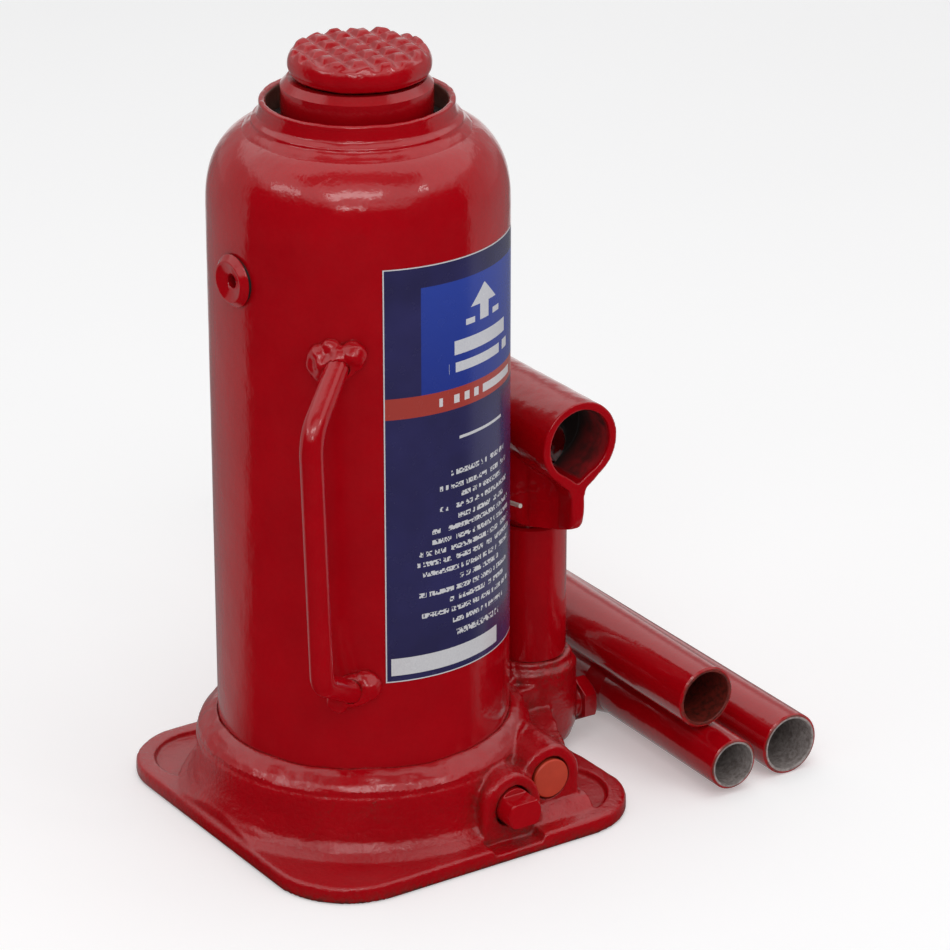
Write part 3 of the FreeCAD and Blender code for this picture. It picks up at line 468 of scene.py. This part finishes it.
# painted shade: a dark disc at the plug's centre stands in for its shadowed hole
M_FILL = red("enamel_filler", shade_and_dirt=0.5, peel=1.0, wave=0.4, ao=1.5,
             inner=lambda m: [(m.math("MULTIPLY", near_axis(m, (0, 0, 178.4), -94.9, 0, 2.1, 0.6), 0.95), m.mix(m.noise(0.8, 2), (0.012, 0.004, 0.004), (0.05, 0.006, 0.006)), 0.6)])
M_SAD = red("enamel_saddle", shade_and_dirt=0.5, peel=1.5, wave=0.5, ao=2.0)


def stain(m):
    """Brown grime caught between the valve bosses and the pump boss."""
    out = []
    for at, r, amount in (((51.0, -40.0, 25.0), 15.0, 0.75), ((61.0, -12.0, 34.0), 13.0, 0.55), ((20.0, -60.0, 6.0), 10.0, 0.4)):
        x = m.n("ShaderNodeVectorMath", operation="DISTANCE")
        m.l(m.mm, x.inputs[0])
        x.inputs[1].default_value = at
        k = m.math("MULTIPLY_ADD", x.outputs["Value"], -1.0 / (0.55 * r), 1.0 / 0.55, clamp=True)
        k = m.math("MULTIPLY", k, m.math("MULTIPLY", m.ramp(m.noise(0.42, 4, 0.65), [(0.44, 0.0), (0.60, 1.0)]), m.ramp(m.noise(2.0, 3, 0.6), [(0.36, 0.25), (0.6, 1.0)])))
        out.append((m.math("MULTIPLY", k, amount), m.mix(m.noise(1.2, 2), SHADE_DIRT, SHADE_DIRT2), 0.5))
    return out


M_CAST = red("enamel_casting", cast=1.0, shade_and_dirt=0.95, grime=0.5, ao=6.0, point=True, wave=0.8, inner=stain)
M_WELD = red("enamel_weld", cast=0.35, shade_and_dirt=0.8, grime=0.25, ao=2.5, point=True, wave=0.8)
RUST_RIM = (0.10, 0.045, 0.03)
M_T1 = red("enamel_tube_upper", shade_and_dirt=0.3, peel=0.7, wave=0.5, ao=2.0, inner=tube_inside((91.6, -51.9, 28.7), 0.0, 1.0, 9.3, (0.075, 0.013, 0.008), (0.24, 0.022, 0.014), RUST_RIM))
M_T2 = red("enamel_tube_middle", shade_and_dirt=0.3, peel=0.7, wave=0.5, ao=2.0, inner=tube_inside((116.9, -61.9, 10.0), 0.6, 0.0, 9.3, (0.22, 0.185, 0.175), (0.42, 0.375, 0.36), RUST_RIM))
M_T3 = red("enamel_tube_lower", shade_and_dirt=0.3, peel=0.7, wave=0.5, ao=2.0, inner=tube_inside((93.9, -63.5, 10.0), 1.3, 0.0, 7.6, (0.22, 0.185, 0.175), (0.42, 0.375, 0.36), RUST_RIM, wide=(9.3, 12.0)))
M_STEEL = steel("turned_steel")
M_DARK = steel("blackened_steel", base=(0.10, 0.095, 0.09), rough=0.4, rust=0.3)
M_ZINC = plain("zinc_wire", (0.62, 0.60, 0.54), (0.74, 0.72, 0.66), rough=0.35, bump=0.03, scale=0.8, spec=0.8, shade_and_dirt=0.5)
M_RUB = plain("seal_rubber", (0.012, 0.012, 0.012), (0.03, 0.028, 0.026), rough=0.55)
M_COP = steel("copper_gasket", base=(0.62, 0.32, 0.18), rough=0.3)
M_ORANGE = plain("orange_plastic", (0.62, 0.055, 0.022), (0.55, 0.045, 0.018), rough=0.42, bump=0.02, scale=0.5, shade_and_dirt=0.6)


def assign(node, mat):
    me = NODES[node].data
    me.materials.clear()
    me.materials.append(mat)


for n in ("hydraulic_cylinder", "piston", "piston_washer", "piston_nut", "pump_plunger", "release_valve_ball", "overload_ball", "suction_ball", "suction_screen",
          "extension_screw", "overload_spring", "overload_screw"):
    assign(n, M_STEEL)
for n in ("plunger_pin", "fulcrum_pin", "link_pin", "seal_retaining_ring"):
    assign(n, M_DARK)
for n in ("plunger_split_pin", "fulcrum_split_pin", "link_split_pin"):
    assign(n, M_ZINC)
for n in ("filler_seal", "ram_seal", "piston_cup_seal", "pump_wiper_seal", "plunger_cup_seal", "release_o_ring"):
    assign(n, M_RUB)
for n in ("cylinder_gasket", "head_gasket", "pump_gasket"):
    assign(n, M_COP)
for n in ("reservoir_tube", "pump_cylinder"):
    assign(n, M_BODY)
assign("ram", M_RAM)
for n in ("carry_handle", "filler_plug", "link_plates", "saddle", "handle_socket", "release_valve_stem", "suction_plug"):
    assign(n, M_PART)
assign("base", M_CAST)
assign("base_weld_bead", M_WELD)
assign("carry_handle_welds", M_WELD)
assign("overload_cap", M_ORANGE)
assign("head_nut", M_NUT)
assign("handle_upper_tube", M_T1)
assign("handle_middle_tube", M_T2)
assign("handle_lower_tube", M_T3)


def label_film():
    """Printed film: plain shapes and unreadable bars only. u runs round the tube from the front, z up, both in mm."""
    m = Mat("printed_label")
    sp = m.n("ShaderNodeSeparateXYZ")
    m.l(m.mm, sp.inputs[0])
    x, y, z = sp.outputs
    u = m.math("MULTIPLY", m.math("ARCTAN2", x, m.math("MULTIPLY", y, -1.0)), 44.65)
    gt = lambda a, b: m.math("GREATER_THAN", a, b)
    lt = lambda a, b: m.math("LESS_THAN", a, b)

    def rect(u0, u1, z0, z1, zz=z):
        return m.math("MULTIPLY", m.math("MULTIPLY", gt(u, u0), lt(u, u1)), m.math("MULTIPLY", gt(zz, z0), lt(zz, z1)))

    def cell(uu, size, seed):
        w = m.n("ShaderNodeTexWhiteNoise", noise_dimensions="2D")
        cb = m.n("ShaderNodeCombineXYZ")
        m.l(m.math("FLOOR", m.math("MULTIPLY", uu, 1.0 / size)), cb.inputs[0])
        cb.inputs[1].default_value = seed
        m.l(cb.outputs[0], w.inputs["Vector"])
        return w.outputs["Value"]

    NAVY, BLUE, WHITE, RED, GREY = (0.034, 0.031, 0.125), (0.028, 0.062, 0.39), (0.74, 0.74, 0.76), (0.43, 0.050, 0.038), (0.50, 0.50, 0.56)
    col = m.mix(m.ramp(m.noise(0.06, 2), [(0.3, 0.0), (0.7, 1.0)]), NAVY, (0.027, 0.024, 0.088))
    # plain blue panel
    panel = rect(-7.0, 60, 148.0, 180.8)
    shade = m.math("MULTIPLY_ADD", z, 1 / 34.0, -148.0 / 34.0, clamp=True)
    col = m.mix(panel, col, m.mix(shade, (0.020, 0.042, 0.30), BLUE))
    # band across the film
    col = m.mix(rect(-30, 45, 141.5, 148.0), col, RED)
    white = None

    def add(mask):
        nonlocal white
        white = mask if white is None else m.math("MAXIMUM", white, mask)

    def words(u0, u1, zc, h, size=1.05, seed=0.0, gap=0.16):
        # a bar cut into uneven blocks
        k = m.math("MULTIPLY", rect(u0, u1, zc - h / 2, zc + h / 2), gt(cell(u, size, seed), gap))
        if size < 1.0:
            k = m.math("MULTIPLY", k, gt(fleck, 0.36))
        add(k)

    cb = m.n("ShaderNodeCombineXYZ")
    m.l(m.math("FLOOR", m.math("MULTIPLY", u, 1 / 0.42)), cb.inputs[0])
    m.l(m.math("FLOOR", m.math("MULTIPLY", z, 1 / 0.5)), cb.inputs[1])
    wn = m.n("ShaderNodeTexWhiteNoise", noise_dimensions="2D")
    m.l(cb.outputs[0], wn.inputs["Vector"])
    fleck = wn.outputs["Value"]
    # lifting pictogram: arrow over a bar
    tri_w = m.math("MULTIPLY_ADD", z, -1.0, 177.4)
    arrow = m.math("MULTIPLY", m.math("MULTIPLY", gt(z, 171.2), lt(z, 177.2)), lt(m.math("ABSOLUTE", m.math("SUBTRACT", u, 16.8)), tri_w))
    add(arrow)
    add(rect(14.7, 18.9, 166.2, 171.3))
    add(rect(8.6, 12.4, 166.2, 168.0))
    add(rect(21.2, 25.0, 166.2, 168.0))
    words(4.2, 29.3, 160.2, 4.3, 3.2, 3.0, 0.20)
    words(2.2, 31.3, 154.2, 3.0, 2.3, 9.0, 0.20)
    words(-1.2, 34.0, 144.6, 2.6, 2.0, 5.0, 0.20)
    # plain rule above the bars
    add(rect(6.0, 27.0, 131.8, 132.7))
    for i, (u0, u1, zc, h) in enumerate(((2.9, 29.2, 121.7, 1.6), (-1.1, 31.4, 117.6, 1.5), (5.7, 26.5, 114.4, 1.5), (-1.1, 31.5, 111.1, 1.5), (5.5, 28.6, 107.7, 1.5),
                                          (-3.7, 33.0, 104.6, 1.5), (-3.7, 33.4, 101.3, 1.5), (-7.9, 34.0, 98.1, 1.5), (-9.2, 34.0, 94.9, 1.5), (-6.8, 33.0, 91.6, 1.5),
                                          (6.2, 25.1, 88.4, 1.5), (-8.0, 33.0, 85.1, 1.5), (2.3, 29.3, 81.8, 1.5), (-7.2, 33.0, 78.4, 1.5), (3.4, 28.3, 74.7, 1.5), (4.3, 25.2, 70.6, 1.9))):
        words(u0, u1, zc, h, 0.95, 20.0 + i, 0.17)
    add(rect(-16.7, 24.1, 60.5, 66.0))
    edge = m.math("SUBTRACT", 1.0, rect(-17.95, 60, 58.75, 187.0))
    add(edge)
    wear = m.math("MULTIPLY_ADD", m.noise(2.2, 3), 0.25, 0.78, clamp=True)
    col = m.mix(m.math("MULTIPLY", white, wear), col, WHITE)
    nrm = m.bump(m.noise(0.06, 2, 0.5), 0.5, 0.35)
    nrm = m.bump(m.noise(0.5, 2, 0.5), 0.02, 0.5, nrm)
    m.set(color=col, rough=m.math("MULTIPLY_ADD", m.noise(0.25, 3), 0.12, 0.20), normal=nrm, spec=0.45, coat=0.25, coat_rough=0.08, coat_normal=nrm)
    return m.m


assign("label", label_film())

# ------------------------------------------------------------------ sculpted pieces
w_long, w_big, w_mid, w_small = Waves(22, 4), Waves(10, 1), Waves(4.5, 2), Waves(1.6, 3)


def flat_below(co):
    co = co.copy()
    co[:, 2] = np.where(co[:, 2] < 0.35 * MM, np.maximum(co[:, 2], 0.0) * 0.3, co[:, 2])
    return co


def bead_zone(co):
    """1 on the weld bead, 0 on the base; the bead's toe wanders a little round the ring."""
    a = np.arctan2(co[:, 1], co[:, 0])
    toe = 24.9 + 0.45 * np.sin(5 * a + 1) + 0.3 * np.sin(13 * a + 2)
    r = np.hypot(co[:, 0], co[:, 1]) / MM
    return np.clip((co[:, 2] / MM - toe) / 0.7, 0, 1) * (r < 50.6) * (r > 43.0)


def cast_disp(co, n):
    top = np.clip((co[:, 2] - 1.5 * MM) / (3 * MM), 0, 1)
    r = np.hypot(co[:, 0], co[:, 1]) / MM
    boss = np.clip((r - 51.5) / 2.0, 0, 1) * np.clip((co[:, 2] - 7 * MM) / (2 * MM), 0, 1)
    weld = bead_zone(co)
    w = w_big(co)
    return (0.008 * w_mid(co) + top * (0.05 * w_long(co) + 0.030 * w + 0.012 * w_mid(co) + 0.004 * w_small(co))
            + boss * (0.12 * w_long(co) + 0.12 * w + 0.015 * w_mid(co)) + weld * (0.25 + 0.12 * w_long(co) + 0.07 * w + 0.015 * w_mid(co)))


# the casting and its weld are smoothed as one skin, then parted along the weld's toe so that no gap opens
both = voxel(joined("casting_and_weld", "base", "base_weld_bead"), 0.58)
co = co_of(both.data)
co = relax(co, edges_of(both.data), 10)
set_co(both.data, co)
nn = normals_of(both.data)
zone = bead_zone(co)
set_co(both.data, flat_below(co + nn * (cast_disp(co, nn) * MM)[:, None]))


def part_of(src, name, keep):
    """Copy of src with only the faces whose every vertex is kept."""
    bm = bmesh.new()
    bm.from_mesh(src.data)
    bm.verts.ensure_lookup_table()
    bmesh.ops.delete(bm, geom=[f for f in bm.faces if not keep(f)], context="FACES")
    me = bpy.data.meshes.new(name)
    bm.to_mesh(me)
    bm.free()
    me.polygons.foreach_set("use_smooth", [True] * len(me.polygons))
    o = bpy.data.objects.new(name, me)
    COLL.objects.link(o)
    return o


on_bead = zone > 0.5
base = part_of(both, "base_casting", lambda f: not all(on_bead[v.index] for v in f.verts))
bead = part_of(both, "tube_weld_bead", lambda f: all(on_bead[v.index] for v in f.verts))
bpy.data.objects.remove(both, do_unlink=True)
for o, node, mat in ((base, "base", M_CAST), (bead, "base_weld_bead", M_WELD)):
    o.data.materials.append(mat)
    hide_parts(node)
    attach(o, "jack_body")

# welds at the roots of the carrying handle: the upper one has a second lump to the left of the rod
def ball(at, r, squash=1.0):
    """Faceted ball as a mesh, in mm; it only feeds the skin below."""
    bm = bmesh.new()
    bmesh.ops.create_icosphere(bm, subdivisions=4, radius=r * MM)
    for v in bm.verts:
        v.co = Vector((v.co.x * 1.0, v.co.y * 1.0, v.co.z * squash)) + Vector(at) * MM
    me = bpy.data.meshes.new("lump")
    bm.to_mesh(me)
    bm.free()
    return me


def on_tube(az, z, r=44.45):
    return (r * math.cos(math.radians(az)), r * math.sin(math.radians(az)), z)


wl = voxel(joined("handle_roots", "carry_handle_welds", ball(on_tube(-135.6, 159.4, 44.2), 4.8, 1.15), ball(on_tube(-132.5, 163.0, 44.4), 3.4), ball(on_tube(-128.6, 55.6, 44.4), 3.4)), 0.3)
co = relax(co_of(wl.data), edges_of(wl.data), 26)
w_lump = Waves(6.0, 8)
set_co(wl.data, co)
set_co(wl.data, co + normals_of(wl.data) * ((0.05 + 0.30 * w_lump(co) + 0.10 * w_mid(co)) * MM)[:, None])
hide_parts("carry_handle_welds")
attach(wl, "jack_body")
wl.data.materials.append(M_WELD)
wl.name = "handle_root_welds"



def sock_disp(co, n):
    low = np.clip((103 * MM - co[:, 2]) / (4 * MM), 0, 1) * np.clip((co[:, 1] + 22 * MM) / (6 * MM), 0, 1)
    return 0.015 * w_mid(co) + 0.035 * w_big(co) + low * (0.10 * w_big(co) + 0.06 * w_mid(co))


sock = sculpt("handle_socket", "rocker", 0.4, 16, sock_disp)
sock.data.materials.append(M_SOCK)
sock.name = "rocker_socket"

# saddle: turned pad, its top pressed into a grid of small pyramids whose grooves run out over the edge
PX, PY, TOP, GRID, TURN = 0.7, -0.45, 240.2, 6.5, math.radians(-8.0)
side = spline([(9.03, 231.2), (18.4, 231.2), (19.9, 232.0), (20.75, 233.6), (20.95, 235.0), (20.7, 236.6), (20.1, 238.0), (19.3, 239.2), (18.3, 239.95), (17.3, 240.2)], 0.28, corners=(1,))
prof = side + [(17.3 - 0.28 * k, 240.2) for k in range(1, 61)] + [(0.3, 240.2), (0.12, 240.2)]
hole = [(0.12, 237.03), (9.03, 237.03)]


def saddle_shape(co, n):
    return 0 * co[:, 0]


sad = lathe("saddle", "saddle", prof + hole, 420, saddle_shape)
me = sad.data
co = co_of(me)
nn = normals_of(me)
r = np.hypot(co[:, 0], co[:, 1]) / MM
w = np.clip((co[:, 2] / MM - 237.9) / 2.0, 0, 1) * ((nn[:, 2] > -0.2) & ((r > 9.4) | (co[:, 2] / MM > 238.5)))
c, sn = math.cos(TURN), math.sin(TURN)
gx, gy = (co[:, 0] * c + co[:, 1] * sn) / MM, (-co[:, 0] * sn + co[:, 1] * c) / MM


def groove(q):
    """1 in the bottom of a groove, 0 on top of a pyramid."""
    d = np.abs((q / GRID + 0.5) % 1.0 - 0.5) * GRID - (GRID / 2)      # 0 midway between grooves centre lines
    d = np.abs(d)
    return np.clip((2.0 - d) / 1.55, 0, 1)


def soft(t):
    return np.where(t < 0.12, t * t / 0.24, np.where(t > 0.88, 1 - (1 - t) ** 2 / 0.24 - 0.0, t - 0.06)) / 0.94 * 1.0


cut_ = np.maximum(groove(gx + 0.06 * w_mid(co)), groove(gy + 0.06 * w_mid(co[:, ::-1])))
co[:, 2] -= w * 1.5 * MM * np.clip(soft(cut_), 0, 1)
co[:, 0] += PX * MM
co[:, 1] += PY * MM
set_co(me, co)
co = relax(co_of(me), edges_of(me), 2, mu=0)
set_co(me, co)
set_co(me, co + normals_of(me) * ((0.02 * w_mid(co) + 0.05 * w_big(co)) * MM)[:, None])
sad.data.materials.append(M_SAD)
sad.name = "saddle_pad"

# reservoir tube: one smooth turned wall with the filler hole through it
DOME = [(44.45, 193.18), (44.26, 197.87), (43.71, 201.55), (42.82, 204.78), (41.64, 207.62), (40.2, 210.06), (38.55, 212.08), (36.85, 213.66), (35.25, 214.79), (33.6, 215.6)]
outer = [(44.45, 7.02 + 3.0 * i) for i in range(62)] + spline([(44.45, 192.0)] + DOME, 0.45)
inner = [(29.7, 215.6), (29.7, 213.0), (32.2, 212.5), (33.8, 211.6), (35.6, 210.0), (37.3, 208.1), (38.8, 205.8), (40.1, 203.0), (41.1, 200.0), (41.7, 196.6), (41.95, 193.0), (41.95, 150.0), (41.95, 80.0), (41.95, 7.02)]
tank = lathe("reservoir_tube", "jack_body", outer + inner, 480,
             lambda co, n: (np.hypot(co[:, 0], co[:, 1]) > 43 * MM) * 0.012 * w_long(co)
             + np.clip((co[:, 2] - 196 * MM) / (10 * MM), 0, 1) * (n[:, 2] > 0.05) * (0.030 * w_big(co) + 0.025 * w_long(co)))
cutter = new_obj("filler_drill", *drill((-42.0, -3.6, 178.4), (math.cos(math.radians(184.9)), math.sin(math.radians(184.9)), 0), 5.05, 14.0))
bo = tank.modifiers.new("filler_hole", "BOOLEAN")
bo.operation = "DIFFERENCE"
bo.solver = "EXACT"
bo.object = cutter
dg = bpy.context.evaluated_depsgraph_get()
old = tank.data
tank.data = bpy.data.meshes.new_from_object(tank.evaluated_get(dg), preserve_all_data_layers=False, depsgraph=dg)
tank.modifiers.clear()
bpy.data.objects.remove(cutter, do_unlink=True)
tank.data.materials.clear()
tank.data.materials.append(M_BODY)
tank.data.polygons.foreach_set("use_smooth", [True] * len(tank.data.polygons))
tank.name = "reservoir_shell"

# neck: turned rim with a rolled lip, brushed paint and a ridge where it meets the shoulder
rim = spline([(34.9, 214.75), (33.5, 215.55), (32.9, 216.2), (32.2, 216.85), (31.4, 217.5), (30.95, 218.1), (30.75, 218.8), (30.1, 219.3), (29.25, 220.0), (28.8, 221.2),
              (28.5, 223.0), (28.5, 224.0), (28.25, 224.55), (27.7, 224.7), (27.1, 224.6), (26.6, 224.1), (26.3, 223.4), (26.3, 221.0), (26.3, 215.7)], 0.25)
rest = [(24.25, 215.7), (24.25, 213.0), (22.26, 213.0), (22.26, 190.0), (25.0, 190.0), (25.0, 214.2), (29.4, 214.2), (29.4, 215.4), (32.5, 214.9)]


def neck_disp(co, n):
    a = np.arctan2(co[:, 1], co[:, 0])
    r = np.hypot(co[:, 0], co[:, 1]) / MM
    z = co[:, 2] / MM
    foot = np.clip((r - 29.0) / 1.0, 0, 1) * np.clip((z - 215.2) / 0.6, 0, 1)
    lip = np.clip((z - 223.8) / 0.5, 0, 1)
    return foot * (0.05 * w_big(co) + 0.035 * np.sin(19 * a + 2 * np.sin(3 * a)) + 0.02 * w_mid(co)) + lip * 0.04 * w_mid(co)


neck = lathe("head_nut", "jack_body", rim + rest, 480, neck_disp)
neck.data.materials.append(M_NUT)
neck.name = "neck_ring"

stem = sculpt("release_valve_stem", "release_stem", 0.22, 5)
stem.data.materials.append(M_PART)
stem.name = "release_stem"

plug = sculpt("suction_plug", "jack_body", 0.25, 5, lambda co, n: 0.03 * w_mid(co))
plug.data.materials.append(M_PART)
plug.name = "pump_hex_plug"

fill = sculpt("filler_plug", "filler_plug", 0.2, 3, lambda co, n: 0.02 * w_mid(co))
fill.data.materials.append(M_FILL)
fill.name = "filler_plug_head"

# ------------------------------------------------------------------ studio
AWAY = (0.554, 0.833, 0.0)                 # horizontal direction away from the camera
floor = new_obj("floor", [(-6, -6, 0), (6, -6, 0), (6, 6, 0), (-6, 6, 0)], [(0, 1, 2, 3)], smooth=False)
fm = Mat("studio_floor")
lp = fm.n("ShaderNodeLightPath")
geo = fm.n("ShaderNodeNewGeometry")
dotn = fm.n("ShaderNodeVectorMath", operation="DOT_PRODUCT")
fm.l(geo.outputs["Position"], dotn.inputs[0])
dotn.inputs[1].default_value = AWAY
nrmz = fm.n("ShaderNodeVectorMath", operation="NORMALIZE")
fm.l(geo.outputs["Position"], nrmz.inputs[0])
dota = fm.n("ShaderNodeVectorMath", operation="DOT_PRODUCT")
fm.l(nrmz.outputs[0], dota.inputs[0])
dota.inputs[1].default_value = AWAY
fade = fm.ramp(fm.math("MULTIPLY_ADD", dota.outputs["Value"], 0.5, 0.5, clamp=True), [(0.50, 0.36), (0.72, 0.33), (0.955, 0.20), (0.99, 0.85)])
step = fm.ramp(fm.math("MULTIPLY_ADD", dotn.outputs["Value"], 2.5, 0.5, clamp=True), [(0.44, 0.0), (0.56, 1.0)])
behind = fm.math("MULTIPLY_ADD", step, fade, 0.006)
pale = fm.mix(fm.noise(0.004, 3), (0.90, 0.90, 0.905), (0.87, 0.87, 0.875))
fm.set(color=pale, rough=0.9, spec=0.1)
em = fm.n("ShaderNodeEmission")
fm.l(behind, em.inputs["Strength"])
lift = fm.n("ShaderNodeEmission")              # keeps the floor near white to the eye, with the soft shadow still on it
lift.inputs["Color"].default_value = (1, 1, 1, 1)
fm.l(fm.math("MULTIPLY", lp.outputs["Is Camera Ray"], 0.27), lift.inputs["Strength"])
add = fm.n("ShaderNodeAddShader")
fm.l(fm.b.outputs[0], add.inputs[0])
fm.l(lift.outputs[0], add.inputs[1])
mx = fm.n("ShaderNodeMixShader")
fm.l(lp.outputs["Is Glossy Ray"], mx.inputs[0])
fm.l(add.outputs[0], mx.inputs[1])
fm.l(em.outputs[0], mx.inputs[2])
fm.l(mx.outputs[0], fm.out.inputs[0])
fm.m.cycles.emission_sampling = "NONE"
floor.data.materials.append(fm.m)

# soft surround: even light on matt surfaces; in reflections, bright above and behind, dark in front
world = bpy.data.worlds.new("studio")
bpy.context.scene.world = world
world.use_nodes = True
world.cycles.sampling_method = "NONE"
wt = world.node_tree
wt.nodes.clear()


def wnode(kind, **kw):
    x = wt.nodes.new(kind)
    for k, v in kw.items():
        setattr(x, k, v)
    return x


def wmath(op, a, b=0.0, c=None, clamp=False):
    x = wnode("ShaderNodeMath", operation=op)
    x.use_clamp = clamp
    for i, v in enumerate((a, b) if c is None else (a, b, c)):
        if isinstance(v, (int, float)):
            x.inputs[i].default_value = v
        else:
            wt.links.new(v, x.inputs[i])
    return x.outputs[0]


tc = wnode("ShaderNodeTexCoord")
sx = wnode("ShaderNodeSeparateXYZ")
wt.links.new(tc.outputs["Generated"], sx.inputs[0])
away = wmath("ADD", wmath("MULTIPLY", sx.outputs[0], AWAY[0]), wmath("MULTIPLY", sx.outputs[1], AWAY[1]))
upper = wmath("MULTIPLY_ADD", sx.outputs[2], 1 / 0.20, -0.32 / 0.20, clamp=True)
rear = wmath("MULTIPLY_ADD", away, 1 / 0.12, 0.0, clamp=True)
side_ = wmath("ADD", wmath("MULTIPLY", sx.outputs[0], AWAY[1]), wmath("MULTIPLY", sx.outputs[1], -AWAY[0]))
phi = wmath("ARCTAN2", sx.outputs[2], wmath("MULTIPLY", away, -1.0))          # 0 toward the viewer, 90 degrees overhead
band = wmath("MULTIPLY", wmath("MULTIPLY_ADD", phi, 57.3 / 6.0, -57.0 / 6.0, clamp=True), wmath("MULTIPLY_ADD", phi, -57.3 / 8.0, 86.0 / 8.0, clamp=True))
band = wmath("MULTIPLY", band, wmath("MULTIPLY_ADD", wmath("ABSOLUTE", side_), -1 / 0.15, 0.62 / 0.15, clamp=True))
upper = wmath("MULTIPLY", upper, wmath("MULTIPLY_ADD", band, -0.82, 1.0))
edge = wmath("MULTIPLY_ADD", away, 1 / 0.05, -0.93 / 0.05, clamp=True)
refl = wmath("MAXIMUM", wmath("MULTIPLY", upper, UPPER), wmath("MAXIMUM", wmath("MULTIPLY", rear, 0.45), wmath("MULTIPLY", edge, 0.9)))
refl = wmath("ADD", refl, 0.006)
wl_ = wnode("ShaderNodeLightPath")
strength = wmath("ADD", wmath("MULTIPLY", wl_.outputs["Is Glossy Ray"], refl), wmath("MULTIPLY", wmath("SUBTRACT", 1.0, wl_.outputs["Is Glossy Ray"]), AMBIENT))
bg = wnode("ShaderNodeBackground")
wt.links.new(strength, bg.inputs["Strength"])
wo = wnode("ShaderNodeOutputWorld")
wt.links.new(bg.outputs[0], wo.inputs[0])


def area(name, az, el, dist, sx, sy, radiance, aim=(0.02, 0, 0.12), color=(1, 1, 1), diffuse=1.0, spec=1.0):
    """Softbox at azimuth az (0 = in front, along -Y), elevation el, of size sx by sy metres."""
    a, e = math.radians(az), math.radians(el)
    back = Vector((math.sin(a) * math.cos(e), -math.cos(a) * math.cos(e), math.sin(e)))
    li = bpy.data.lights.new(name, "AREA")
    li.shape = "RECTANGLE"
    li.size, li.size_y = sx, sy
    li.energy = radiance * math.pi * sx * sy
    li.color = color
    li.diffuse_factor = diffuse
    li.specular_factor = spec
    ob = bpy.data.objects.new(name, li)
    COLL.objects.link(ob)
    ob.visible_glossy = spec > 0
    ob.location = Vector(aim) + back * dist
    ob.rotation_mode = "QUATERNION"
    ob.rotation_quaternion = (-back).to_track_quat("-Z", "Y")
    return ob


area("key", -33.6, 43, 1.5, 0.90, 0.22, 3.6, diffuse=0.45)
area("key_low", -37, 26, 1.5, 0.42, 0.05, 9.0, diffuse=0.3)
area("kicker", 22.6, 37, 1.5, 0.17, 0.10, 7.0, diffuse=0.3)
area("left_top", -95, 32, 1.5, 0.45, 0.22, 2.3, diffuse=0.3)
area("top_fill", 0, 88, 1.8, 1.6, 1.6, 1.3, spec=0.0)
area("front_fill", 20, 22, 2.2, 1.6, 0.9, 1.0, spec=0.0)

cam = bpy.data.cameras.new("camera")
cam.sensor_width = 36.0
cam.lens = 4341.6 / 950.0 * 36.0
cam.clip_start, cam.clip_end = 0.05, 30
co = bpy.data.objects.new("camera", cam)
COLL.objects.link(co)
a, e = math.radians(-33.63), math.radians(22.96)
back = Vector((math.sin(a) * math.cos(e), -math.cos(a) * math.cos(e), math.sin(e)))
co.location = (-0.63272, -1.01256, 0.61178)
co.rotation_mode = "QUATERNION"
co.rotation_quaternion = (-back).to_track_quat("-Z", "Y")
bpy.context.scene.camera = co
bpy.context.scene.view_settings.view_transform = "Standard"
bpy.context.scene.view_settings.look = "None"
bpy.context.scene.view_settings.exposure = 0.0
